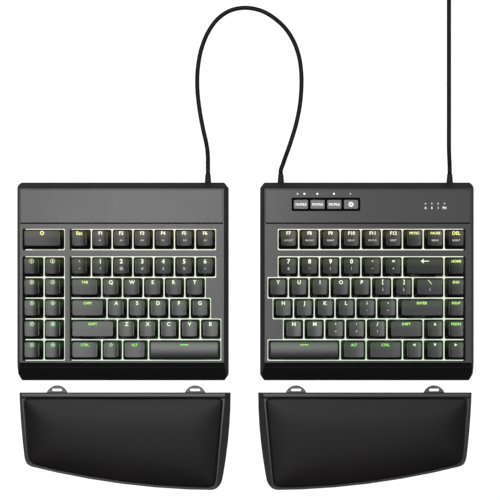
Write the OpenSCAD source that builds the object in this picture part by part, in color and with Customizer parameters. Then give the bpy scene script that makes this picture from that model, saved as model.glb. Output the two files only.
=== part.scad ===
// Ergonomic split keyboard: two key modules joined by a cable, with a palm rest for each.
// Millimetres, X to the right, Y to the rear, Z up, from the middle of the footprint on the desk.

/* [Keys] */
// Distance between the centres of neighbouring keys
key_pitch = 19.05; // [18.6:0.05:19.4]
// Gap between neighbouring keycaps at their rims
cap_gap = 0.95; // [0.8:0.05:1.4]
// Height of a home-row keycap from rim to top face
cap_h = 9.2; // [8.6:0.1:10.2]
// Wall of a keycap
cap_wall = 1.3; // [1.1:0.05:1.5]
// Lean of a keycap's two sides, in plan
cap_side_lean = 2.4; // [2:0.1:2.8]
// Lean of a keycap's front, in plan
cap_front_lean = 3.3; // [2.8:0.1:3.6]
// Lean of a keycap's rear, in plan
cap_rear_lean = 1.2; // [0.8:0.1:1.8]
// Corner radius of a keycap
cap_corner_r = 1.5; // [1:0.1:2]
// Depth of the finger dish in a keycap
dish_depth = 0.5; // [0.3:0.05:0.7]
// Flat edge left beside the dish
cap_edge = 0.7; // [0.5:0.1:1]
// Radius across a space bar's rounded top
space_crown_r = 24; // [20:1:32]
// Tilt of a home-row keycap's top face, rear edge up
home_tilt = 2; // [0:0.5:3]
// Tilt and rise that each row nearer the rear adds
row_tilt_step = 3; // [1:0.5:4]
// Height that each row nearer the rear adds
row_rise_h = 0.6; // [0.2:0.1:0.8]
// Key travel
key_travel = 4; // [3:0.1:4.2]

/* [Switches] */
// Side of the square hole for a switch
switch_hole = 14; // [13.9:0.05:14.1]
// Gap between a switch body and its hole, each side
switch_fit = 0.05; // [0.03:0.01:0.1]
// Side of a switch's flange on the plate
switch_flange_w = 15.6; // [15.4:0.1:15.8]
// Thickness of a switch's flange
switch_flange_t = 1; // [0.8:0.1:1.2]
// Height of a switch above its plate
switch_top_h = 6.6; // [6.2:0.1:6.8]
// Height of a switch between circuit board and plate top
switch_base_h = 5; // [4.8:0.1:5.4]
// Thickness of a switch's floor
switch_floor_t = 2; // [1.6:0.1:2.2]
// Side of a switch's upper housing at its top
switch_top_w = 11; // [10.4:0.1:11.4]
// Diameter of the slider under a keycap
slider_d = 5.5; // [5.2:0.1:5.8]
// Gap round the slider in its bore
slider_gap = 0.35; // [0.2:0.05:0.5]
// Gap under the slider when its key is fully down
slider_floor_gap = 0.8; // [0.5:0.05:1]
// Width of a stabilizer block
stabilizer_w = 7.4; // [7.2:0.1:7.4]
// Depth of a stabilizer block
stabilizer_d = 10; // [9:0.2:11]
// Drop of a stabilizer block's top below the switch's top
stabilizer_drop = 1.6; // [1.2:0.1:2]
// Diameter of a stabilizer wire
stabilizer_wire_d = 1.6; // [1.2:0.1:1.8]
// Gap between a stabilizer wire and its switch
stabilizer_gap = 0.3; // [0.2:0.05:0.5]

/* [Case] */
// Space between the two modules as laid out
module_gap = 29.2; // [20:1:60]
// Deck between the keys and a module's outer edge
outer_margin = 7.2; // [6.6:0.2:9]
// Deck between the keys and a module's inner edge
inner_margin = 6.7; // [6.2:0.2:8]
// Extra width of the right module at its outer side
right_outer_extra = 2.1; // [0:0.1:3]
// Deck bar between the extra keys and the main keys
cluster_bar = 5.3; // [4:0.1:8]
// Deck bar in front of the function row
row_bar = 6.25; // [4:0.25:8]
// Depth of the slope behind the rear panel
rear_slope_d = 6.1; // [5:0.1:8]
// Depth of the rear panel's field
rear_panel_d = 32.1; // [30:0.5:40]
// Deck behind the function row
deck_rear = 4.9; // [4:0.1:6]
// Deck in front of the bottom row
deck_front = 1.8; // [1.4:0.1:3]
// Depth of the sloping front lip
lip_d = 17.4; // [15:0.2:20]
// Bulge of the front lip over a straight slope
lip_bulge_h = 0.8; // [0.4:0.1:1.4]
// Height of the front lip's lower edge
lip_z = 10; // [9.5:0.1:11]
// Height of the slope's foot at the rear
rear_wall_z = 11; // [10.5:0.1:13]
// Plan width of the bevel along each side
side_bevel = 4; // [3:0.1:4.5]
// Height of the side bevel's foot
side_wall_z = 10; // [9.5:0.1:12]
// Bevel round the case's underside
base_bevel = 1.2; // [0.8:0.1:1.4]
// Wall of the case
wall = 2; // [1.8:0.1:2.4]
// Deck height above the keycap rims
deck_over_rim = 2; // [1.6:0.1:2.6]
// Gap of a key window round the key cells
window_gap = 0.4; // [0.3:0.05:0.6]
// Corner radius of a key window
window_corner_r = 1.6; // [1:0.1:1.8]
// Height of the seam between the case's halves
seam_z = 6; // [5.8:0.1:6.4]
// Tongue that rises inside the seam
tongue_t = 1.3; // [1.1:0.1:1.5]
// Height of the tongue above the seam
tongue_h = 2; // [1.4:0.1:2.4]
// Cut across a rear corner, in width
rear_corner_w = 4; // [3:0.2:5]
// Cut across a rear corner, in depth
rear_corner_d = 5; // [4:0.2:7]
// Cut across the inner front corner, in width
front_corner_w = 3.7; // [3:0.1:5]
// Cut across the inner front corner, in depth
front_corner_d = 5.5; // [4:0.1:7]
// How far the outer front corner curves in
front_sweep_w = 4.5; // [3:0.1:6]
// Length of that curve
front_sweep_d = 18; // [14:1:24]

/* [Inside] */
// Gap between the case floor and the circuit board
board_gap = 1.4; // [1.2:0.1:2]
// Thickness of the circuit board
board_t = 1.6; // [1.2:0.1:1.6]
// Thickness of the switch plate
plate_t = 1.5; // [1.2:0.1:1.6]
// Height of the keycap rims above the switch plate
rim_over_plate = 6; // [5.8:0.1:6.2]
// Reach of plate and board past the key cells
plate_margin = 1.5; // [1:0.1:2]
// Diameter of the screw posts
post_d = 6; // [5.4:0.2:7]
// Distance of the screw posts from the case's edges
post_inset = 11; // [10:0.5:13]
// Diameter of the screws
screw_d = 2.2; // [2:0.1:2.6]
// Length of the screws under the head
screw_len = 7; // [6:0.5:8]
// Diameter of the screw heads
screw_head_d = 4.6; // [4.2:0.1:5]
// Thickness of the screw heads
screw_head_t = 1; // [0.8:0.1:1.1]
// Gap between a screw and its hole
screw_fit = 0.1; // [0.05:0.05:0.2]

/* [Rear panel and buttons] */
// Thickness of the rear panel
panel_t = 2; // [1.8:0.1:2.4]
// Rim of the case left round the rear panel
panel_rim = 1.2; // [0.8:0.1:2]
// Groove between the rear panel and the deck
panel_groove = 1; // [0.6:0.1:1.4]
// Gap round the rear panel
panel_fit = 0.15; // [0.1:0.05:0.25]
// Width of the ledge that carries the rear panel
ledge_w = 2; // [1.6:0.1:2.4]
// Thickness of that ledge
ledge_t = 1.5; // [1.2:0.1:2]
// Distance of the button bezel from the module's inner edge
bezel_x = 29; // [27:0.5:60]
// Distance of the button bezel from the module's rear edge
bezel_rear = 14.6; // [13.6:0.2:18]
// Thickness of the bezel's face
bezel_t = 1.5; // [1.2:0.1:1.7]
// Reach of the bezel's flange behind the panel
bezel_flange = 1.2; // [0.8:0.1:1.4]
// Width of a button
button_w = 13.3; // [12:0.1:14]
// Depth of a button
button_d = 8.6; // [8:0.1:10]
// Space between two buttons
button_space = 2; // [1.6:0.1:3]
// Black border round the row of buttons
bezel_border = 1.6; // [1.4:0.1:3]
// Gap between a button and the bezel
button_fit = 0.2; // [0.15:0.05:0.4]
// Height of a button over the panel
button_proud = 0.4; // [0.2:0.1:0.8]
// Button travel
button_travel = 1; // [0.6:0.1:1.2]
// Diameter of an indicator lens
lens_d = 1.5; // [1.2:0.1:2]
// Gap between a lens and its hole
lens_fit = 0.05; // [0.03:0.01:0.1]
// Reach of a lens's flange under the panel
lens_flange = 0.3; // [0.2:0.05:0.4]

/* [Palm rests] */
// Space between a palm rest and its module as laid out
palm_gap = 12.3; // [11:0.1:20]
// Depth of a palm rest at its outer corner
palm_outer_d = 66.5; // [60:0.5:76]
// Depth that the front edge gains towards the inner corner
palm_inner_gain = 23.6; // [16:0.2:26]
// How far each side is drawn in at the front
palm_side_bow = 9.6; // [6:0.1:11]
// Radius of the palm rest's front corners
palm_corner_r = 11; // [8:0.5:14]
// Height of the palm base at its rear
palm_rear_z = 9.6; // [9:0.1:10]
// Height of the palm base at its front
palm_front_z = 6.4; // [6:0.1:8]
// Clearance under the palm base
palm_lift = 1.5; // [1.2:0.1:2]
// How far a palm rest's outer side stands in from its module's
palm_outer_in = 0.9; // [0:0.1:2]
// How far its inner side stands out past its module's
palm_inner_over = 1.8; // [0:0.1:2.4]
// Width of the sloping flank on the outer side, at the rear
palm_outer_flank = 2.8; // [2:0.1:4]
// Width of the sloping flank on the inner side, at the rear
palm_inner_flank = 4.8; // [3:0.1:6]
// Rim behind the pad
palm_rear_rim = 3.6; // [2.6:0.1:4.4]
// Rim in front of the pad
palm_front_rim = 2; // [1.6:0.1:3]
// Rim on the pad's two sides
palm_side_rim = 1.3; // [1:0.1:2]
// Radius of the pad's corners
pad_corner_r = 4; // [2:0.5:6]
// Depth of the pad's seat in the base
pad_seat = 1.5; // [1:0.1:2]
// Gap between pad and rim
pad_gap = 0.3; // [0.2:0.05:0.5]
// Height of the pad's crown above the rim
pad_crown = 5; // [3:0.5:7]
// Width of a docking loop
hook_w = 19; // [16:0.5:22]
// Reach of a docking loop
hook_reach = 6.6; // [5:0.1:7.4]
// Thickness of a docking loop
hook_t = 2.8; // [2.2:0.1:3]
// Width of the opening in a docking loop
hook_hole_w = 9.5; // [8:0.5:11]
// Depth of the opening in a docking loop
hook_hole_d = 2.7; // [2:0.1:3]
// Web between a docking loop's opening and the palm base
hook_web = 1.2; // [0.8:0.1:1.6]
// Distance from the outer edge to the first docking loop
hook_outer = 35.5; // [30:0.5:44]
// Distance from the outer edge to the second docking loop
hook_inner = 164; // [150:1:168]
// Gap round a docking loop in its socket
hook_fit = 1; // [0.7:0.1:1.4]
// Wall round a docking socket
socket_wall = 1.4; // [1.2:0.1:1.8]

/* [Feet] */
// Clearance of the case above the desk
foot_h = 2; // [1.8:0.1:3]
// Depth of a foot's recess
foot_recess = 0.8; // [0.5:0.1:1]
// Length of a case foot
foot_len = 30; // [20:1:40]
// Width of a case foot
foot_w = 8; // [6:0.5:10]
// Distance of a case foot from the case's edges
foot_inset = 20; // [17:1:26]
// Diameter of a palm rest's foot
palm_foot_d = 10; // [8:0.5:14]
// Distance of the palm rest's feet from its sides
palm_foot_inset = 20; // [18:0.5:26]
// Distance of the palm rest's rear feet from its rear edge
palm_foot_rear = 14; // [12:0.5:20]
// Distance of the palm rest's front feet from the front edge's outer end
palm_foot_front = 12.5; // [12:0.5:18]

/* [Cables] */
// Diameter of both cables
cable_d = 4; // [3.6:0.1:4.4]
// Distance of a bridge cable's exit from the module's inner edge
bridge_exit = 19.2; // [16:0.2:40]
// Distance of the USB cable's exit from the module's outer edge
usb_exit = 19.4; // [16:0.2:40]
// Length of a strain relief outside the case
boot_len = 8; // [6:0.5:14]
// Diameter of a strain relief at the case
boot_root_d = 6; // [5.6:0.1:7]
// Diameter of a strain relief at its tip
boot_tip_d = 4.8; // [4.6:0.1:5.4]
// Diameter of the USB coil at the middle of its turns
coil_d = 44; // [40:1:48]
// Turns beside each other in the coil
coil_columns = 6; // [5:1:7]
// Turns on top of each other in the coil
coil_layers = 2; // [1:1:3]
// Thickness of the coil's tie
tie_t = 1; // [0.8:0.1:1.4]
// Length of the tie along the coil, in degrees
tie_angle = 24; // [16:1:40]
// Width of the USB plug's shell
plug_w = 12; // [11.8:0.1:12.2]
// Thickness of the USB plug's shell
plug_t = 4.5; // [4.4:0.05:4.6]
// Length of the USB plug's shell
plug_len = 12; // [11:0.25:13]
// Length of the USB plug's moulded body
plug_body_len = 22; // [18:1:30]
// Margin of the plug's body round its shell
plug_border = 1.7; // [1.2:0.1:2.4]

/* [Hidden] */
$fn = 32;
eps = 0.01;
LEFT = 0;
RIGHT = 1;

// Key widths in units, row by row from the rear
row_widths = [
  [[1, 1, 1, 1, 1, 1, 1],
   [1, 1, 1, 1, 1, 1, 1],
   [1.5, 1, 1, 1, 1, 1],
   [1.75, 1, 1, 1, 1, 1],
   [2.25, 1, 1, 1, 1, 1],
   [1.5, 1, 1.25, 3.5]],
  [[1, 1, 1, 1, 1, 1, 1, 1, 1],
   [1, 1, 1, 1, 1, 1, 2, 1],
   [1, 1, 1, 1, 1, 1, 1, 1.5, 1],
   [1, 1, 1, 1, 1, 1, 2.25, 1],
   [1, 1, 1, 1, 1, 1.75, 1, 1],
   [3.5, 1.25, 1.75, 1, 1, 1]]];
left_units = 7.25;
right_units = 9.5;
macro_columns = 2;
stabilized_from = 2;
space_from = 3;
stabilizer_offset = 11.94;
space_stabilizer_offset = 19.05;

// Slider and keycap
cap_rim_w = key_pitch - cap_gap;
slider_bore = switch_base_h - switch_floor_t;

// Heights above the desk
floor_z = foot_h + wall;
board_z = floor_z + board_gap;
plate_z = board_z + board_t + switch_base_h;
rim_z = plate_z + rim_over_plate;
deck_z = rim_z + deck_over_rim;

// Footprint of a module and of the whole layout
main_x = outer_margin + macro_columns * key_pitch + cluster_bar;
module_w = main_x + left_units * key_pitch + inner_margin;
keys_y = -(rear_slope_d + rear_panel_d + deck_rear);
lip_y = keys_y - 6 * key_pitch - row_bar - deck_front;
module_d = lip_d - lip_y;
palm_d = palm_outer_d + palm_inner_gain;
rear_y = (module_d + palm_gap + palm_d) / 2;
left_x = -module_gap / 2 - module_w;
right_x = module_gap / 2;

// Sum of the first n entries of a list
function sum_first(v, n) = n <= 0 ? 0 : v[n - 1] + sum_first(v, n - 1);
function row_start(side, r) = side == LEFT ? 0
  : right_units - sum_first(row_widths[RIGHT][r], len(row_widths[RIGHT][r]));
function cluster_x(side) = side == LEFT ? main_x : inner_margin;
function row_y(r) = keys_y - key_pitch * (r + 0.5) - (r > 0 ? row_bar : 0);

// A key is its centre, its width in units and its row
function row_keys(side, r, first, last) = [
  for (i = [first:last]) let (w = row_widths[side][r][i])
    [cluster_x(side) + key_pitch * (row_start(side, r) + sum_first(row_widths[side][r], i) + w / 2),
     row_y(r), w, r]];
function whole_row(side, r) = row_keys(side, r, 0, len(row_widths[side][r]) - 1);
function macro_bar_keys() = [[outer_margin + key_pitch * macro_columns / 2, row_y(0), macro_columns, 0]];
function macro_grid() = [
  for (r = [1:5], c = [0:macro_columns - 1]) [outer_margin + key_pitch * (c + 0.5), row_y(r), 1, r]];
function module_keys(side) = concat(
  [for (r = [0:5]) each whole_row(side, r)],
  side == LEFT ? concat(macro_bar_keys(), macro_grid()) : []);
arrow_list = concat(row_keys(RIGHT, 4, 6, 6), row_keys(RIGHT, 5, 3, 5));
navigation_list = concat(row_keys(RIGHT, 1, 7, 7), row_keys(RIGHT, 2, 8, 8), row_keys(RIGHT, 3, 7, 7),
  row_keys(RIGHT, 4, 7, 7));
function wide_keys(side) = [for (k = module_keys(side)) if (k.z >= stabilized_from) k];
function stabilizer_x(units) = units >= space_from ? space_stabilizer_offset : stabilizer_offset;

// Faces of a solid lofted through rings of n points, lowest ring first
function loft_faces(n, rings) = concat(
  [[for (i = [0:n - 1]) i]],
  [[for (i = [n - 1:-1:0]) (rings - 1) * n + i]],
  [for (r = [0:rings - 2], i = [0:n - 1]) [r * n + i, (r + 1) * n + i, (r + 1) * n + (i + 1) % n]],
  [for (r = [0:rings - 2], i = [0:n - 1]) [r * n + i, (r + 1) * n + (i + 1) % n, r * n + (i + 1) % n]]);

function width_of(side) = module_w + (side == LEFT ? 0 : right_outer_extra);

// Places what it holds in a module's own frame: rear outer corner, or rear inner corner on the right.
// $w is the width of that module.
module in_module(side) {
  $w = width_of(side);
  translate([side == LEFT ? left_x : right_x, rear_y, 0]) children();
}

// Flips what it holds across a module, so that one drawing serves both
module handed(side) {
  if (side == LEFT) children();
  else translate([$w, 0, 0]) mirror([1, 0, 0]) children();
}

// Ring round a keycap at one height, two short edges to each corner
function cap_ring(half_w, y_front, y_rear, r, z, slope) = [
  for (i = [0:3], k = [0:2])
    let (a = 90 * i + 45 * k,
         x = (i == 0 || i == 3 ? 1 : -1) * (half_w - r) + r * cos(a),
         y = (i < 2 ? y_rear - r : y_front + r) + r * sin(a))
    [x, y, z + slope * y]];
// Ring of four corners, for the inside
function box_ring(half_w, y_front, y_rear, z, slope) = [
  for (c = [[1, y_rear], [-1, y_rear], [-1, y_front], [1, y_front]])
    [c.x * half_w, c.y, z + slope * c.y]];
function row_step(r) = r < 1 ? 2 : 3 - r;

// One keycap with its slider, standing on its rim's height
module keycap(units, r) {
  half_w = (units * key_pitch - cap_gap) / 2;
  half_d = cap_rim_w / 2;
  tilt = home_tilt + row_tilt_step * max(row_step(r), -1);
  slope = tan(tilt);
  top_y = (cap_front_lean - cap_rear_lean) / 2;
  top_z = cap_h + row_rise_h * max(row_step(r), 0) - slope * top_y;
  top_half_w = half_w - cap_side_lean;
  is_space = units >= space_from;
  dish_r = pow(top_half_w - cap_edge, 2) / (2 * dish_depth);
  roof = dish_depth + cap_wall;
  roof_z = top_z - roof + 0.5;
  slider_z = key_travel + slider_floor_gap - rim_over_plate - slider_bore;
  outer_z = key_travel + slider_floor_gap - rim_over_plate;
  difference() {
    intersection() {
      polyhedron(concat(
        cap_ring(half_w, -half_d, half_d, cap_corner_r, 0, 0),
        cap_ring(top_half_w, -half_d + cap_front_lean, half_d - cap_rear_lean, cap_corner_r,
          top_z, slope)), loft_faces(12, 2));
      if (is_space) translate([0, top_y, top_z + slope * top_y - space_crown_r])
        rotate([0, 90, 0])
          cylinder(r = space_crown_r, h = 3 * half_w, center = true, $fn = ceil(PI * space_crown_r));
    }
    if (!is_space) translate([0, top_y, top_z + slope * top_y])
      rotate([tilt - 90, 0, 0]) translate([0, -(dish_r - dish_depth), 0])
        cylinder(r = dish_r, h = 2 * cap_rim_w, center = true, $fn = ceil(PI * dish_r));
    polyhedron(concat(
      box_ring(half_w - cap_wall, -half_d + cap_wall, half_d - cap_wall, -eps, 0),
      box_ring(top_half_w - cap_wall, -half_d + cap_front_lean + cap_wall,
        half_d - cap_rear_lean - cap_wall, top_z - roof, slope)), loft_faces(4, 2));
  }
  translate([0, 0, slider_z]) cylinder(d = slider_d, h = roof_z - slider_z);
  if (units >= stabilized_from) for (s = [-1, 1]) translate([s * stabilizer_x(units), 0, outer_z])
    cylinder(d = slider_d, h = roof_z - outer_z);
}

// A group of keycaps given as a list of keys
module keycaps(side, keys) {
  color([0.13, 0.13, 0.13]) in_module(side) for (k = keys) translate([k.x, k.y, rim_z]) keycap(k.z, k[3]);
}

// Plan of a module, outer edge on the left
module case_plan() {
  sweep_steps = 6;
  polygon(concat(
    [[0, -rear_corner_d], [rear_corner_w, 0], [$w - rear_corner_w, 0],
     [$w, -rear_corner_d], [$w, front_corner_d - module_d],
     [$w - front_corner_w, -module_d]],
    [for (i = [sweep_steps:-1:0]) let (t = i / sweep_steps)
      [front_sweep_w * t * t, front_sweep_d * (1 - t) - module_d]]));
}

// Side view of a module, rear at zero: slope at the rear, flat deck, rounded lip at the front
module case_side() {
  lip_steps = 5;
  polygon(concat(
    [[-base_bevel, foot_h], [0, foot_h + base_bevel], [0, rear_wall_z], [-rear_slope_d, deck_z]],
    [for (i = [0:lip_steps]) let (t = i / lip_steps)
      [lip_y - lip_d * t, deck_z - (deck_z - lip_z) * t + 4 * lip_bulge_h * t * (1 - t)]],
    [[-module_d, foot_h + base_bevel], [base_bevel - module_d, foot_h]]));
}

// Front view of a module: a bevel down each side
module case_front() {
  polygon([[base_bevel, foot_h], [0, foot_h + base_bevel], [0, side_wall_z], [side_bevel, deck_z],
    [$w - side_bevel, deck_z], [$w, side_wall_z], [$w, foot_h + base_bevel],
    [$w - base_bevel, foot_h]]);
}

// Outer form of a case, drawn in by an inset: where plan, side view and front view all agree
module case_form(inset) {
  intersection() {
    linear_extrude(2 * deck_z) offset(delta = -inset) case_plan();
    rotate([90, 0, 90]) linear_extrude($w) offset(delta = -inset) case_side();
    rotate([90, 0, 0]) linear_extrude(module_d) offset(delta = -inset) case_front();
  }
}

// Slab over a module's whole plan between two heights
module slab(z_low, z_high) {
  translate([-1, -module_d - 1, z_low]) cube([$w + 2, module_d + 2, z_high - z_low]);
}

// Cells of the keys, grown by a margin
module key_cells(side, margin) {
  offset(delta = margin) for (k = module_keys(side))
    translate([k.x, k.y]) square([k.z * key_pitch + eps, key_pitch + eps], center = true);
}

// Plan of plate and circuit board: the key cells, with the bars between them closed
module plate_plan(side) {
  bridge = max(cluster_bar, row_bar) / 2 + 0.5;
  offset(delta = -bridge) key_cells(side, plate_margin + bridge);
}

// Places of the case screws
function screw_spots() = [
  for (x = [post_inset, $w / 2, $w - post_inset],
       y = [-post_inset, post_inset - module_d]) [x, y]];

// Centres of the docking sockets along the front
hook_spots = [hook_outer, hook_inner];
hook_z = palm_lift;
socket_w = hook_w + 2 * hook_fit;
socket_d = hook_reach + hook_fit;
socket_top = hook_z + hook_t + hook_fit;

// Rounded field of the rear panel, grown by a margin
module panel_plan(margin, groove) {
  offset(delta = margin)
    translate([side_bevel + panel_rim, -rear_slope_d - rear_panel_d + panel_groove - groove])
      square([$w - 2 * (side_bevel + panel_rim), rear_panel_d - panel_rim - panel_groove + groove]);
}

// Holes that the strain reliefs leave the case by
module boot_holes(side) {
  for (x = side == LEFT ? [module_w - bridge_exit] : [bridge_exit, module_w - usb_exit])
    translate([x, eps, seam_z]) rotate([90, 0, 0]) cylinder(d = boot_root_d + 2 * panel_fit, h = 3 * wall);
}

module top_case(side) {
  color([0.44, 0.43, 0.44]) in_module(side) difference() {
    union() {
      difference() {
        handed(side) case_form(0);
        handed(side) case_form(wall);
        slab(0, seam_z);
      }
      handed(side) intersection() {
        case_form(wall / 2);
        union() {
          for (p = screw_spots()) translate([p.x, p.y, floor_z]) {
            cylinder(d = post_d, h = deck_z);
            if (p.y > -module_d / 2) translate([-wall / 2, 0, seam_z + tongue_h + 0.5 - floor_z])
              cube([wall, post_inset, deck_z]);
          }
          translate([0, 0, deck_z - panel_t - ledge_t]) linear_extrude(panel_t + ledge_t)
            panel_plan(ledge_w, 0);
        }
      }
    }
    translate([0, 0, deck_z - 2 * wall]) linear_extrude(3 * wall)
      offset(r = window_corner_r, $fn = 16) key_cells(side, window_gap - window_corner_r);
    handed(side) {
      translate([0, 0, deck_z - panel_t]) linear_extrude(2 * panel_t) panel_plan(panel_fit, panel_groove);
      translate([0, 0, deck_z - panel_t - 2 * ledge_t]) linear_extrude(2 * panel_t + 2 * ledge_t)
        panel_plan(-ledge_w, 0);
      for (p = screw_spots()) translate([p.x, p.y, floor_z - eps])
        cylinder(d = screw_d + 2 * screw_fit, h = screw_len);
    }
    boot_holes(side);
  }
}

// Plan of the space inside the seam, drawn in from the case's outside
module seam_plan(inset) {
  offset(delta = -inset) case_plan();
}

module bottom_case(side) {
  color([0.1, 0.1, 0.1]) in_module(side) difference() {
    union() {
      handed(side) {
        difference() {
          case_form(0);
          slab(seam_z, 2 * deck_z);
          translate([0, 0, floor_z]) linear_extrude(deck_z) seam_plan(wall + tongue_t);
        }
        translate([0, 0, seam_z - 1]) linear_extrude(tongue_h + 1) difference() {
          seam_plan(wall + panel_fit);
          seam_plan(wall + tongue_t);
        }
        for (x = hook_spots)
          translate([x - socket_w / 2 - socket_wall, wall + panel_fit - module_d, floor_z - eps])
            cube([socket_w + 2 * socket_wall, socket_d + socket_wall - wall - panel_fit,
              socket_top + socket_wall - floor_z]);
      }
      for (x = [2, 4, 6], r = [0, 2, 4])
        translate([inner_margin + x * key_pitch, row_y(r) - key_pitch / 2, floor_z - eps])
          cylinder(d = post_d, h = board_gap + eps);
    }
    handed(side) {
      for (x = hook_spots) translate([x - socket_w / 2, -module_d - 1, 0])
        cube([socket_w, socket_d + 1, socket_top]);
      for (p = screw_spots()) translate([p.x, p.y, foot_h - eps]) {
        cylinder(d = screw_d + 2 * screw_fit, h = 2 * wall);
        cylinder(d = screw_head_d + 2 * screw_fit, h = screw_head_t + 2 * screw_fit + eps);
      }
      for (f = foot_spots()) translate([f.x, f.y, foot_h - eps]) foot_pad(panel_fit, foot_recess + eps);
    }
    boot_holes(side);
  }
}

// Places of the case feet, two near the rear and two behind the lip
function foot_spots() = [
  for (x = [foot_inset + foot_len / 2, $w - foot_inset - foot_len / 2],
       y = [-foot_inset, foot_inset - module_d]) [x, y]];

// One foot with round ends, grown by a gap
module foot_pad(gap, h) {
  linear_extrude(h) union() {
    square([foot_len - foot_w, foot_w + 2 * gap], center = true);
    for (s = [-1, 1]) translate([s * (foot_len - foot_w) / 2, 0]) circle(d = foot_w + 2 * gap);
  }
}

module feet(side) {
  color([0.07, 0.07, 0.07]) in_module(side) handed(side)
    for (f = foot_spots()) translate([f.x, f.y, 0]) foot_pad(0, foot_h + foot_recess);
}

module screws(side) {
  hex_w = screw_head_d / 2;
  color([0.3, 0.3, 0.32]) in_module(side) handed(side) for (p = screw_spots())
    translate([p.x, p.y, foot_h + screw_fit]) difference() {
      union() {
        cylinder(d = screw_head_d, h = screw_head_t + screw_fit);
        cylinder(d = screw_d, h = screw_head_t + screw_len - wall);
      }
      translate([0, 0, -eps]) cylinder(d = hex_w, h = screw_head_t * 0.7, $fn = 6);
    }
}

module switch_plate(side) {
  color([0.93, 0.94, 0.9]) in_module(side) translate([0, 0, plate_z - plate_t])
    linear_extrude(plate_t) difference() {
      plate_plan(side);
      for (k = module_keys(side)) translate([k.x, k.y]) square(switch_hole, center = true);
    }
}

module circuit_board(side) {
  chip = [10, 10, 1];
  color([0.05, 0.25, 0.15]) in_module(side) {
    translate([0, 0, board_z]) linear_extrude(board_t) {
      plate_plan(side);
      translate([2 * post_inset, keys_y - eps])
        square([module_w - 4 * post_inset, -keys_y - post_inset - post_d / 2 - plate_margin]);
    }
    translate([module_w / 2, keys_y + chip.y / 2, board_z + board_t - eps]) cube(chip);
  }
}

module switch_housing() {
  body = switch_hole - 2 * switch_fit;
  flange_edge = 0.6;
  shoulder = switch_flange_w / 2 - flange_edge;
  crown = switch_top_w / 2;
  difference() {
    union() {
      translate([-body / 2, -body / 2, -switch_base_h]) cube([body, body, switch_base_h + eps]);
      translate([-switch_flange_w / 2, -switch_flange_w / 2, 0])
        cube([switch_flange_w, switch_flange_w, switch_flange_t]);
      polyhedron(concat(
        box_ring(shoulder, -shoulder, shoulder, switch_flange_t - eps, 0),
        box_ring(crown, -crown, crown, switch_top_h, 0)), loft_faces(4, 2));
    }
    translate([0, 0, -slider_bore])
      cylinder(d = slider_d + 2 * slider_gap, h = switch_top_h + slider_bore + 1);
  }
}

module switch_housings(side) {
  color([0.12, 0.12, 0.13]) in_module(side)
    for (k = module_keys(side)) translate([k.x, k.y, plate_z]) switch_housing();
}

// Two blocks that guide a wide keycap's outer posts, joined by a wire in front of the switch
module stabilizer(units) {
  x = stabilizer_x(units);
  block_h = switch_top_h - stabilizer_drop;
  wire_y = -(switch_flange_w + stabilizer_wire_d) / 2 - stabilizer_gap;
  arm_d = -wire_y - stabilizer_d / 2;
  for (s = [-1, 1]) translate([s * x, 0, 0]) difference() {
    union() {
      translate([-stabilizer_w / 2, -stabilizer_d / 2, 0]) cube([stabilizer_w, stabilizer_d, block_h]);
      translate([-stabilizer_wire_d, wire_y, 0])
        cube([2 * stabilizer_wire_d, arm_d + eps, stabilizer_wire_d]);
    }
    translate([0, 0, slider_floor_gap / 2])
      cylinder(d = slider_d + 2 * slider_gap, h = block_h);
  }
  translate([-x, wire_y, stabilizer_wire_d / 2]) rotate([0, 90, 0])
    cylinder(d = stabilizer_wire_d, h = 2 * x);
}

module stabilizers(side) {
  color([0.2, 0.2, 0.22]) in_module(side)
    for (k = wide_keys(side)) translate([k.x, k.y, plate_z]) stabilizer(k.z);
}

// Buttons on the right module's rear panel
button_count = 4;
bezel_corner_r = 1;
button_corner_r = 0.8;
flange_t = 1;
bezel_w = button_count * button_w + (button_count - 1) * button_space + 2 * bezel_border;
bezel_d = button_d + 2 * bezel_border;
function button_x(i) = bezel_x + bezel_border + button_w / 2 + i * (button_w + button_space);
button_y = -bezel_rear - bezel_d / 2;

// Indicators: status lenses behind the bezel, lock lenses in a row near the outer edge
status_x = [5.2, 11.45, 23.35, 38.55, 53.55];
status_behind = 3.8;
lock_inset = 44;
lock_pitch = 5.8;
lock_below = 5.2;
lens_spots = concat(
  [for (x = status_x) [bezel_x + x, status_behind - bezel_rear]],
  [for (i = [0:3]) [module_w - lock_inset + lock_pitch * i, -bezel_rear - lock_below]]);

// Rectangle with round corners, centred
module round_rect(w, d, r) {
  union() {
    square([w - 2 * r, d], center = true);
    square([w, d - 2 * r], center = true);
    for (x = [-1, 1], y = [-1, 1]) translate([x * (w / 2 - r), y * (d / 2 - r)]) circle(r = r);
  }
}

module rear_panel(side) {
  color([0.47, 0.46, 0.47]) in_module(side) translate([0, 0, deck_z - panel_t])
    linear_extrude(panel_t) difference() {
      handed(side) panel_plan(0, 0);
      if (side == RIGHT) {
        translate([bezel_x + bezel_w / 2, button_y])
          round_rect(bezel_w + 2 * button_fit, bezel_d + 2 * button_fit, bezel_corner_r);
        for (p = lens_spots) translate(p) circle(d = lens_d + 2 * lens_fit);
      }
    }
}

// Frame round the buttons, its flange under the panel
module button_bezel() {
  color([0.04, 0.04, 0.04]) in_module(RIGHT) translate([bezel_x + bezel_w / 2, button_y, deck_z - panel_t])
    difference() {
      union() {
        linear_extrude(bezel_t) round_rect(bezel_w, bezel_d, bezel_corner_r);
        translate([0, 0, -flange_t]) linear_extrude(flange_t)
          round_rect(bezel_w + 2 * bezel_flange, bezel_d + 2 * bezel_flange, bezel_corner_r);
      }
      for (i = [0:button_count - 1])
        translate([button_x(i) - bezel_x - bezel_w / 2, 0, -2 * flange_t])
          linear_extrude(2 * panel_t + 2 * flange_t) round_rect(button_w, button_d, button_corner_r);
    }
}

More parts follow.
